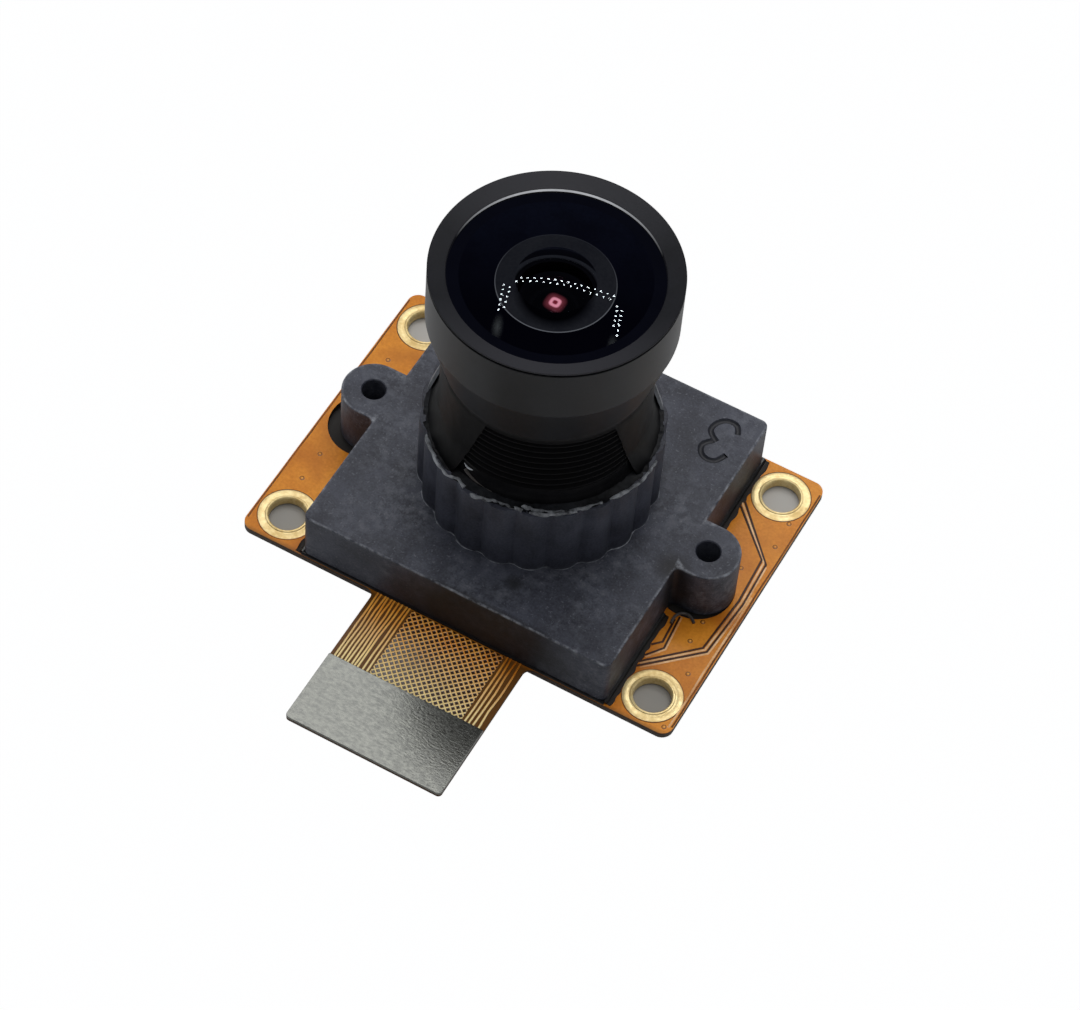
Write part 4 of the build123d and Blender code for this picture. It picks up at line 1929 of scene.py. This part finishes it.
    def moulding(self) -> None:
        """The whole moulding: block, ears and collar, hollowed, bored and numbered."""
        body = self.plan("holder_moulding")
        with editing(body):
            pick_all()
            extrude((0.0, 0.0, self.block_h))
        heal(body)
        with editing(body, Element.EDGE):
            pick(body, lambda place, way: place.z > self.block_top - TOUCH, Element.EDGE)
            bevel(self.edge_r, 3)
        combine(body, self.collar(), Join.ADD)
        for tool in self.hollows():
            combine(body, tool, Join.CUT)
        for groove in self.digit():
            combine(body, groove, Join.CUT)
        ship(body, HOLDER_PLASTIC, Slot.HOLDER, "lens_holder", weighted=True)

    def hollows(self) -> list[Piece]:
        """The tools for the cavity, the window, the filter seat, the bore and the ear holes.

        Returns:
            The solids to cut away.
        """
        below = self.foot - self.cut_margin
        cavity_top = self.foot + self.cavity_h
        floor_z = cavity_top + self.web_t
        inner_x, inner_y = self.length / 2 - self.wall, self.width / 2 - self.wall
        wide, deep = self.window[0] / 2, self.window[1] / 2
        seat_x, seat_y = wide + self.ledge, deep + self.ledge
        bore = lathe("bore", [
            (0.0, floor_z), (self.bore_r, floor_z), (self.bore_r, self.collar_top - self.mouth_bevel),
            (self.bore_r + self.mouth_bevel, self.collar_top),
            (self.bore_r + self.mouth_bevel, self.collar_top + self.cut_margin),
            (0.0, self.collar_top + self.cut_margin),
        ], self.bore_steps)
        tools = [
            slab("cavity", (-inner_x, -inner_y, below), (inner_x, inner_y, cavity_top), self.corner_r),
            slab("window", (-wide, -deep, cavity_top - self.window_margin),
                 (wide, deep, floor_z + self.window_margin)),
            slab("seat", (-seat_x, -seat_y, floor_z - self.seat_h),
                 (seat_x, seat_y, floor_z + self.seat_margin)),
            bore,
        ]
        for side in (-1, 1):
            profile = [
                (0.0, below), (self.ear_hole_r, below), (self.ear_hole_r, self.block_top - self.ear_mouth),
                (self.ear_hole_r + self.ear_mouth, self.block_top),
                (self.ear_hole_r + self.ear_mouth, self.block_top + self.cut_margin),
                (0.0, self.block_top + self.cut_margin),
            ]
            tools.append(lathe("ear_hole", profile, self.ear_hole_steps, (side * self.ear_x, 0.0)))
        return tools

    def digit(self) -> list[Piece]:
        """The mould number, two bowls drawn with a round cutter.

        Returns:
            The two grooves to cut away.
        """
        depth = self.block_top + self.digit_r * self.digit_share
        grooves = []
        for name, line in (("digit_upper", self.digit_upper), ("digit_lower", self.digit_lower)):
            path = [(x, y, depth) for x, y in line]
            grooves.append(tube(name, [path], self.digit_r, smooth=True, sides=self.digit_sides))
        return grooves

    def foot_path(self) -> list[list[Point]]:
        """The stretches of the holder's foot that have board beside them.

        Returns:
            Runs of points along the foot, clear of the cut-outs.
        """
        half_x, half_y = self.length / 2, self.width / 2
        corner = [(half_x, -half_y), (half_x, half_y), (-half_x, half_y), (-half_x, -half_y)]
        runs: list[list[Point]] = []
        for start, end in zip(corner, corner[1:] + corner[:1]):
            a, b = Vector(start), Vector(end)
            count = round((b - a).length / self.foot_step)
            run: list[Point] = []
            for i in range(count + 1):
                place = a + (b - a) * i / count
                if abs(place.x) > half_x - TOUCH and abs(place.y) < self.cut_out_y:
                    if run:
                        runs.append(run)
                    run = []
                else:
                    run.append((place.x, place.y, self.foot))
            if run:
                runs.append(run)
        return runs

    def foot_glue(self) -> None:
        """The line of glue squeezed out along the foot, thinner where the board is narrow, and a flat dark
        band of painted shade and glue beside it.
        """
        rolled = random.Random(self.bead_seed)
        runs = self.foot_path()
        half_y = self.width / 2
        across = [run for run in runs if all(abs(abs(y) - half_y) < TOUCH for _, y, _ in run)]
        along = [run for run in runs if run not in across]
        swell = [rolled.uniform(*self.bead_swell) for _ in range(self.bead_points)]
        bead = tube("foot_glue", along, self.bead_r, lambda i: swell[i], smooth=True, sides=3)
        thin = tube("edge_glue", across, self.edge_bead_r, lambda i: swell[i], smooth=True, sides=3)
        # painted shade and glue: a wide flat dark band along the foot
        shade_band = tube("foot_stain", along, self.shade_band_r, lambda i: swell[-i] ** 3, smooth=True, sides=3)
        with editing(shade_band, Element.VERTEX):
            pick_all()
            resize((1.0, 1.0, self.shade_band_flat), (0.0, 0.0, self.foot))
        ship(shade_band, GLUE_AND_FOOT_SHADE, Slot.GLUE)
        ship(bead, CURED_GLUE, Slot.GLUE, "adhesive_bead")
        ship(thin, CURED_GLUE, Slot.GLUE, "adhesive_bead")

    def stray_glue(self) -> None:
        """The drop of glue at the front corner and the hair of it that curls by the ear."""
        z = self.foot + self.curl_z
        curl = [(x, y, z) for x, y in self.curl_line]
        hair = tube("glue_curl", [curl], self.curl_r, smooth=True, sides=3)
        ship(hair, GLUE_HAIR, Slot.GLUE)
        outline = self.drop_outline + self.drop_outline[:1]
        patch = chain("corner_glue", [(x, y, self.foot + self.drop_z) for x, y in outline])
        with editing(patch, Element.VERTEX):
            pick_all()
            bpy.ops.mesh.remove_doubles(threshold=MERGE_MM)
            bpy.ops.mesh.edge_face_add()
        with editing(patch):
            pick_all()
            extrude((0.0, 0.0, self.drop_h))
        heal(patch)
        soften(patch, self.drop_edge)
        ship(patch, GLUE_AND_FOOT_SHADE, Slot.GLUE)


@dataclass
class Lens:
    """The turned barrel with its thread, the dished rim, the front glass and what shows through it."""

    frame: dict
    thread_r: float = 5.97
    root_r: float = 5.72
    pitch: float = 0.50
    neck_r: float = 5.97
    neck_z: float = 15.10
    taper_top: float = 18.60
    head_r: float = 6.98
    rim_edge: float = 0.10
    rim_seam: float = 0.14
    rim_dish: float = 0.35
    rim_bore: float = 5.97
    wall_light: float = 0.19
    glass_r: float = 6.20
    glass_edge: float = 1.10
    dome: float = 0.72
    edge_band_r: float = 5.25
    bowl: float = 0.95
    bowl_r: float = 3.40
    paint_in_r: float = 2.18
    paint_out_r: float = 3.18
    ring_bore: float = 2.15
    mouth_drop: float = 0.12
    band_r: Flat = (2.30, 2.64)
    glue_top: float = 10.45
    flake_h: float = 1.12
    flake_r: Flat = (6.79, 6.38)
    flake_angles: tuple[Point, ...] = ((186.0, 167.0, 203.0), (43.0, 8.0, 53.0))
    skin_angles: tuple[Flat, ...] = ((168.0, 252.0), (-12.0, 53.0))
    skin_slope: float = 0.32
    skin_rise: float = 1.6
    skin_levels: int = 14
    skin_ragged: float = 0.05
    skin_front: float = 0.93
    crown_ragged: Flat = (0.16, 0.30)
    highlight_waver: float = 0.05
    highlight_swell: Flat = (0.3, 1.2)
    highlight_r: float = 0.12
    highlight_spans: int = 4
    highlight_points: int = 60
    thread_steps: int = 96
    stem_lap: float = 0.25
    inner_r: float = 4.97
    stem_bore_r: float = 4.62
    fine_steps: int = 160
    ring_steps: int = 128
    glass_steps: int = 240
    crown_steps: int = 220
    skin_steps: int = 200
    dome_spans: tuple[int, int] = (28, 80)
    edge_lift: float = 0.012
    glass_gap: float = 0.01
    seat_dome_steps: int = 60
    coat_bite: float = 0.03
    coat_t: float = 0.01
    coat_spans: int = 12
    seat_edge: float = 0.05
    ring_r: float = 4.95
    second_r: float = 4.94
    second_bowl: Flat = (2.70, 0.75)
    second_steps: int = 16
    bowl_inset: float = 0.001
    skin_seed: int = 3
    skin_r: float = 5.99
    crown_seeds: tuple[int, int] = (5, 8)
    crown_bands: Flat = (6.2, 6.62)
    highlight_seed: int = 11
    fold_r: float = 0.11
    fold_thins: float = 0.15
    gap_r: float = 0.07
    gap_shade_thins: float = 0.2
    glint_r: float = 0.06
    glint_swell: tuple[float, ...] = (0.2, 0.8, 1.0, 0.3)
    # outlines of turned glue: the radius, and the height over the collar's mouth
    collar_outline: Line = (
        (5.60, -0.10), (6.14, -0.10), (6.27, 0.02), (6.22, 0.10), (6.08, 0.28), (6.00, 0.60),
    )
    collar_lip: Line = ((5.98, -0.06), (5.90, 0.0), (5.60, 0.0))
    crown_outline: Line = (
        (6.08, -0.01), (6.80, -0.01), (6.84, 0.02), (6.74, 0.05), (6.50, 0.07), (6.30, 0.10), (6.08, 0.16),
    )
    skin_foot: Line = ((5.8, -0.02), (6.60, 0.0), (6.42, 0.25), (6.24, 0.70), (6.08, 1.15))
    # the glue's pale edges, painted as a highlight: the angle in degrees, and the radius
    highlight_lines: tuple[Line, ...] = (
        ((-137.4, 6.78), (-129, 6.86), (-120.5, 6.90), (-111.6, 6.95), (-107.3, 6.60), (-99.6, 6.80)),
        ((-97.5, 6.92), (-93.7, 6.85), (-86.2, 6.60), (-80.5, 6.59), (-74.9, 6.65), (-70.1, 6.78)),
        (
            (-72.3, 6.42), (-68, 6.50), (-64.2, 6.60), (-55.4, 6.62), (-46.5, 6.66), (-37.1, 6.70),
            (-30.5, 6.71),
        ),
        ((-68, 6.80), (-60, 6.82), (-50, 6.80), (-44, 6.74)),
        ((-28, 6.74), (-18.8, 6.86), (-10.3, 6.93), (0.5, 6.92), (5.4, 6.93)),
    )
    gap_shade_line: tuple[Point, ...] = (
        (-2.50, -5.47, 10.46), (-2.09, -5.65, 10.49), (-1.70, -5.78, 10.50), (-1.32, -5.88, 10.46),
        (-0.96, -5.94, 10.43),
    )
    glint_line: tuple[Point, ...] = (
        (-1.95, -5.70, 10.14), (-1.76, -5.78, 10.03), (-1.52, -5.84, 10.02), (-1.30, -5.88, 10.12),
    )
    fold_line: tuple[Point, ...] = (
        (-1.80, -5.80, 9.80), (-1.48, -5.92, 9.56), (-1.00, -6.02, 9.46), (-0.50, -6.10, 9.44),
        (0.10, -6.16, 9.42),
    )

    def __post_init__(self) -> None:
        """Reads the lens's levels from the frame."""
        self.stem_bottom = reach("lens_barrel")[0].z
        self.head_top = reach("front_ring")[1].z
        self.glass_z = reach("front_lens")[0].z
        self.mouth_z = reach("lens_holder")[1].z
        self.spacer_z = reach("front_spacer")[0].z

    def build(self, glassware: Set) -> None:
        """Builds and dresses the lens.

        Args:
            glassware: collects the pieces that the soft lights leave out.
        """
        self.barrel()
        self.rim()
        self.front_glass(glassware)
        self.behind_glass(glassware)
        self.collar_glue()
        self.glue_crown()
        self.dried_edge()
        self.flakes()
        self.side_skins()
        self.glue_folds()
        for node in ("third_lens", "doublet_front", "doublet_rear", "rear_lens"):
            dress(self.frame, node, INNER_GLASS)
        for node in ("second_spacer", "aperture_stop", "rear_spacer"):
            dress(self.frame, node, INNER_BLACK)

    def threaded_stem(self) -> Piece:
        """The stem with its helical thread, trimmed flat at both ends.

        Returns:
            The stem as a solid.
        """
        turns = math.ceil((self.neck_z - self.stem_bottom) / self.pitch) + 3
        start = self.stem_bottom - self.pitch
        quarter = self.pitch / 4
        stem = chain("stem", [
            (self.root_r, 0.0, start), (self.root_r, 0.0, start + quarter * 0.8),
            (self.thread_r, 0.0, start + quarter * 2.0), (self.thread_r, 0.0, start + quarter * 2.8),
            (self.root_r, 0.0, start + self.pitch),
        ])
        screw = stem.modifiers.new("thread", "SCREW")
        screw.angle = TURN
        screw.screw_offset = self.pitch
        screw.iterations = turns
        screw.steps = self.thread_steps
        screw.render_steps = self.thread_steps
        screw.use_merge_vertices = True
        screw.merge_threshold = MERGE_MM
        apply(stem, screw)
        heal(stem)
        top = self.neck_z - self.stem_lap
        with editing(stem):
            for height, way in ((self.stem_bottom, (0, 0, -1)), (top, (0, 0, 1))):
                trim((0, 0, height), way)
        heal(stem)
        return stem

    def barrel(self) -> None:
        """Stem, taper and head in one turning, bored from the front."""
        seat_z = self.head_top - self.rim_edge - self.rim_seam
        bore_r = self.glass_r + 0.02
        head = lathe("lens_turning", [
            (0.0, self.neck_z - 0.40), (self.neck_r - 0.04, self.neck_z - 0.40),
            (self.neck_r, self.neck_z - 0.36), (self.neck_r, self.neck_z),
            (self.head_r - 0.03, self.taper_top - 0.04), (self.head_r, self.taper_top + 0.04),
            (self.head_r, seat_z - 0.03), (self.head_r - 0.03, seat_z),
            (bore_r, seat_z - self.rim_drop(bore_r)), (bore_r, self.glass_z - 0.02),
            (self.inner_r, self.glass_z - 0.02), (self.inner_r, self.spacer_z - 1.8),
            (0.0, self.spacer_z - 1.8),
        ], self.ring_steps)
        stem = self.threaded_stem()
        combine(head, stem, Join.ADD)
        bore = lathe("stem_bore", [
            (0.0, self.stem_bottom - 1.0), (self.stem_bore_r, self.stem_bottom - 1.0),
            (self.stem_bore_r, self.spacer_z - 1.0), (0.0, self.spacer_z - 1.0),
        ], self.thread_steps)
        combine(head, bore, Join.CUT)
        ship(head, BARREL_BLACK, Slot.ANODISED, "lens_barrel", weighted=True)

    def rim_drop(self, r: float) -> float:
        """How far the dished rim lies below its outer edge at a radius."""
        return self.rim_dish * (self.head_r - r) / (self.head_r - self.rim_bore)

    def rim(self) -> None:
        """The dished ring that holds the front glass."""
        glass_top = self.glass_z + self.glass_edge
        flange = self.head_top - self.rim_edge
        inner_z = self.head_top - self.rim_dish
        # painted highlight: a thin glowing ring inside the rim's bore
        lit = wall(self.rim_bore - 0.02, self.rim_bore + 0.02, inner_z - self.wall_light, inner_z - 0.03)
        ship(lathe("rim_wall", lit, self.fine_steps), PAINTED_RIM_LIGHT, Slot.ANODISED)
        ring = lathe("front_rim", [
            (self.rim_bore, glass_top + 0.02), (self.glass_r, glass_top + 0.02),
            (self.glass_r, flange - self.rim_drop(self.glass_r)), (self.head_r - 0.02, flange),
            (self.head_r, flange + 0.02), (self.head_r, self.head_top - 0.03),
            (self.head_r - 0.03, self.head_top), (self.head_r - 0.10, self.head_top - 0.03),
            (self.rim_bore + 0.04, inner_z + 0.02), (self.rim_bore, inner_z - 0.01),
        ], self.fine_steps)
        ship(ring, RIM_BLACK, Slot.ANODISED, "front_ring", weighted=True)

    def front_glass(self, glassware: Set) -> None:
        """The large front glass: a shallow dome with a bowl under it.

        Args:
            glassware: collects the glass.
        """
        gap = self.glass_gap
        outer = self.rim_bore - gap
        edge_top = self.glass_z + self.glass_edge
        profile = dome_profile(self.bowl_r, self.glass_z + gap, self.bowl, self.dome_spans[0])
        profile += [
            (self.glass_r - gap, self.glass_z + gap), (self.glass_r - gap, edge_top - gap),
            (outer, edge_top - gap),
        ]
        profile += list(reversed(dome_profile(outer - 0.001, edge_top, self.dome - gap, self.dome_spans[1])))
        glass = lathe("front_glass", profile, self.glass_steps)
        ship(glass, FRONT_GLASS, Slot.GLASS, "front_lens")
        glassware.objects.link(glass)
        # painted shade: a dark band laid over the outer zone of the dome
        lift = self.edge_lift
        dome = dome_profile(outer, edge_top, self.dome - gap, self.seat_dome_steps)
        band = [(r, z) for r, z in dome if r > self.edge_band_r]
        upper = [(r, z + lift) for r, z in band]
        under = [(r, z - lift) for r, z in reversed(band)]
        ship(lathe("glass_edge", upper + under, self.fine_steps), GLASS_EDGE_SHADE, Slot.GLASS)

    def back_face(self, r: float) -> float:
        """The height of the front glass's rear face at a radius.

        Args:
            r: the radius.

        Returns:
            The height.
        """
        if r >= self.bowl_r:
            return self.glass_z
        ball_r = (self.bowl_r**2 + self.bowl**2) / (2 * self.bowl)
        return self.glass_z + self.bowl - (ball_r - math.sqrt(ball_r**2 - r**2))

    def coat_back(self, name: str, in_r: float, out_r: float, finish: Finish) -> None:
        """A coat of paint on the rear face of the front glass, between two radii.

        Args:
            name: the new piece's name.
            in_r: its inner radius.
            out_r: its outer radius.
            finish: its finish.
        """
        spans = self.coat_spans
        radii = [in_r + (out_r - in_r) * i / spans for i in range(spans + 1)]
        top = [(r, self.back_face(r) + self.coat_bite) for r in radii]
        under = [(r, self.back_face(r) - self.coat_t) for r in reversed(radii)]
        coat = lathe(name, top + under, self.ring_steps)
        ship(coat, finish, Slot.ANODISED)

    def behind_glass(self, glassware: Set) -> None:
        """The painted rear face, the grey ring and the second glass.

        Args:
            glassware: collects what only the small lamps light.
        """
        # painted light: these coats behind the glass glow faintly
        self.coat_back("glass_seat", self.paint_out_r + self.seat_edge, self.glass_r - 0.02, SEAT_BLACK)
        self.coat_back("ring_edge", self.paint_out_r, self.paint_out_r + self.seat_edge, EDGE_GREY)
        self.coat_back("ring_paint", self.paint_in_r, self.paint_out_r, RING_PAINT)
        mouth_z = self.glass_z - self.mouth_drop
        ring = lathe("inner_ring", [
            (self.ring_bore, self.spacer_z), (self.ring_r, self.spacer_z),
            (self.ring_r, self.glass_z - 0.06),
            (self.bowl_r - 0.04, self.glass_z - 0.06), (self.ring_bore + 0.03, mouth_z),
            (self.ring_bore, mouth_z - 0.03),
        ], self.ring_steps)
        ship(ring, SPACER_BLACK, Slot.ANODISED, "front_spacer")
        sleeve = wall(self.ring_bore - 0.01, self.ring_bore + 0.01, self.spacer_z + 0.40, mouth_z - 0.06)
        ship(lathe("bore_shade", sleeve, self.ring_steps), INNER_BLACK, Slot.ANODISED)
        # painted light: the grey band in the spacer's mouth glows
        low_r, high_r = self.band_r
        band = lathe("mouth_band", [
            (low_r, mouth_z - 0.03), (high_r, mouth_z - 0.03), (high_r, mouth_z + 0.035),
            (low_r, mouth_z + 0.022),
        ], self.ring_steps)
        ship(band, MOUTH_PAINTED_LIGHT, Slot.ANODISED)
        low, high = reach("second_lens")
        rim_z = self.spacer_z
        flat_z, bowl_r = rim_z - self.glass_gap, self.ring_bore - self.bowl_inset
        profile = dome_profile(self.second_bowl[0], low.z, self.second_bowl[1], self.second_steps)
        profile += [(self.second_r, low.z), (self.second_r, flat_z), (self.ring_bore, flat_z)]
        profile += list(reversed(dome_profile(bowl_r, flat_z, high.z - rim_z, self.second_steps)))
        glass = lathe("second_glass", profile, self.thread_steps)
        ship(glass, SECOND_GLASS, Slot.GLASS, "second_lens")
        glassware.objects.link(glass)

    def collar_glue(self) -> None:
        """The glue that locks the stem in the mouth of the collar."""
        profile = [(r, self.mouth_z + rise) for r, rise in self.collar_outline]
        profile += [(r, self.glue_top + rise) for r, rise in self.collar_lip]
        ring = lathe("collar_glue", profile, self.ring_steps)
        ship(ring, THREAD_GLUE, Slot.GLUE, "thread_glue")

    def glue_crown(self) -> None:
        """The skin of glue that has run out over the collar's top, with a ragged edge."""
        z = self.mouth_z
        inner_r, outer_r = self.crown_bands
        profile = [(r, z + rise) for r, rise in self.crown_outline]
        crown = lathe("glue_crown", profile, self.crown_steps)
        with editing(crown, Element.VERTEX):
            pick(crown, lambda place, way: place.z > z and place.xy.length > inner_r, Element.VERTEX)
            roughen(self.crown_ragged[0], self.crown_seeds[0])
            pick(crown, lambda place, way: place.xy.length > outer_r, Element.VERTEX)
            roughen(self.crown_ragged[1], self.crown_seeds[1])
        ship(crown, GLUE_SKIN, Slot.GLUE)

    def dried_edge(self) -> None:
        """The pale edges of that skin round the front of the collar, their paleness a painted highlight."""
        rolled = random.Random(self.highlight_seed)
        paths = []
        for line in self.highlight_lines:
            path = []
            for (a0, r0), (a1, r1) in zip(line, line[1:]):
                for i in range(self.highlight_spans):
                    angle = math.radians(a0 + (a1 - a0) * i / self.highlight_spans)
                    waver = rolled.uniform(-self.highlight_waver, self.highlight_waver)
                    r = r0 + (r1 - r0) * i / self.highlight_spans + waver
                    z = self.mouth_z + rolled.uniform(0.0, self.highlight_waver)
                    path.append((r * math.cos(angle), r * math.sin(angle), z))
            paths.append(path)
        swell = [rolled.uniform(*self.highlight_swell) for _ in range(self.highlight_points)]
        edge = tube("dried_edge", paths, self.highlight_r, lambda i: swell[i], smooth=True, sides=2)
        ship(edge, GLUE_EDGE_PAINTED_HIGHLIGHT, Slot.GLUE)

    def flakes(self) -> None:
        """Two thin flakes of glue that stand up beside the stem."""
        z = self.mouth_z
        foot_r, tip_r = self.flake_r
        for i, angles in enumerate(self.flake_angles):
            tip, low, high = (math.radians(angle) for angle in angles)
            flake = lathe(f"glue_flake_{i}", [
                (foot_r - 0.12, z - 0.04), (foot_r + 0.03, z - 0.04),
                (tip_r + 0.02, z + self.flake_h + 0.02), (tip_r - 0.16, z + self.flake_h - 0.10),
            ], self.fine_steps)
            outward = Vector((math.cos(tip), math.sin(tip), 0.0))
            top = outward * tip_r + Vector((0.0, 0.0, z + self.flake_h))
            for side, angle in ((-1, low), (1, high)):
                beyond = Vector((-math.sin(angle), math.cos(angle), 0.0)) * side
                base = Vector((foot_r * math.cos(angle), foot_r * math.sin(angle), z))
                slope = (base - top).cross(outward)
                with editing(flake):
                    trim(ORIGIN, beyond)
                    trim(top, slope if slope.z > 0 else -slope)
            heal(flake)
            ship(flake, GLUE_FLAKE, Slot.GLUE)

    def side_skins(self) -> None:
        """The skins of glue that cover the thread at both sides of the stem, with ragged front edges."""
        z, rise, spans = self.mouth_z, self.skin_rise, self.skin_levels
        top = self.neck_z - self.glass_gap
        levels = [z + rise + (top - z - rise) * i / spans for i in range(spans + 1)]
        profile = [(r, z + height) for r, height in self.skin_foot]
        profile += [(self.skin_r, level) for level in levels] + [(self.skin_foot[0][0], top)]
        for i, (low, high) in enumerate(self.skin_angles):
            skin = lathe(f"side_skin_{i}", profile, self.skin_steps)
            front = high if i == 0 else low
            for side, angle in ((-1, math.radians(low)), (1, math.radians(high))):
                tilt = -self.skin_slope if angle == math.radians(front) else 0.0
                beyond = Vector((-math.sin(angle) * side, math.cos(angle) * side, tilt))
                with editing(skin):
                    trim((0, 0, z + rise), beyond)
            heal(skin)
            way = Vector((math.cos(math.radians(front)), math.sin(math.radians(front)), 0.0))
            with editing(skin, Element.VERTEX):
                pick(
                    skin,
                    lambda place, _: place.z > z + 1 and place.xy.normalized().dot(way.xy) > self.skin_front,
                    Element.VERTEX,
                )
                roughen(self.skin_ragged, self.skin_seed + i)
            ship(skin, SIDE_SKIN, Slot.GLUE)

    def glue_folds(self) -> None:
        """The dark gap, the bright glint and the fold where the glue has come off the thread; the gap is a
        black bead of painted shade.
        """
        # painted shade: a black bead laid where the gap is
        gap = tube("glue_gap", [self.gap_shade_line], self.gap_r, lambda i: 1.0 - self.gap_shade_thins * i, smooth=True)
        ship(gap, INNER_BLACK, Slot.GLUE)
        swell = self.glint_swell
        glint = tube("glue_glint", [self.glint_line], self.glint_r, lambda i: swell[i], smooth=True)
        ship(glint, GLINT, Slot.GLUE)
        thins = self.fold_thins
        fold = tube("glue_fold", [self.fold_line], self.fold_r, lambda i: 1.0 - thins * i, smooth=True)
        ship(fold, GLUE_HAIR, Slot.GLUE)


@dataclass
class SensorStack:
    """The filter, the sensor and the small parts that the holder covers."""

    frame: dict

    def build(self) -> None:
        """Dresses the parts that stay as they are in the frame."""
        for node, finish, slot in (
            ("infrared_filter", FILTER_GLASS, Slot.FILTER),
            ("sensor_package", CERAMIC, Slot.CERAMIC),
            ("sensor_die", SILICON, Slot.SILICON),
            ("sensor_cover_glass", FILTER_GLASS, Slot.FILTER),
            ("decoupling_capacitors", CAPACITOR, Slot.CAPACITOR),
            ("capacitor_caps", TIN, Slot.TIN),
            ("voltage_regulators", EPOXY, Slot.EPOXY),
        ):
            dress(self.frame, node, finish)


def glass_sets() -> tuple[Set, Set]:
    """Makes the two sets that sort the lamps: one shuts the glass out, the other holds only it.

    Returns:
        The set for the soft lights and the set for the small lamps.
    """
    shut_out = bpy.data.collections.new("all_but_glass")
    only = bpy.data.collections.new("glass_only")
    return shut_out, only


def sort_lamps(shut_out: Set, only: Set) -> None:
    """Marks every glass of the second set as left out of the first.

    Args:
        shut_out: the set for the soft lights.
        only: the set of glass.
    """
    for glass in only.objects:
        shut_out.objects.link(glass)
    for entry in shut_out.collection_objects:
        entry.light_linking.link_state = "EXCLUDE"


def main() -> None:
    """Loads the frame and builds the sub-assemblies in order."""
    logging.basicConfig(level=logging.INFO, format="%(message)s")
    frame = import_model()
    clear_selection()
    shut_out, only = glass_sets()
    FlexBoard(frame).build()
    Holder().build()
    Lens(frame).build(only)
    SensorStack(frame).build()
    sort_lamps(shut_out, only)
    Studio().build(shut_out)
    LampDots().build(only)


if __name__ == "__main__":
    main()
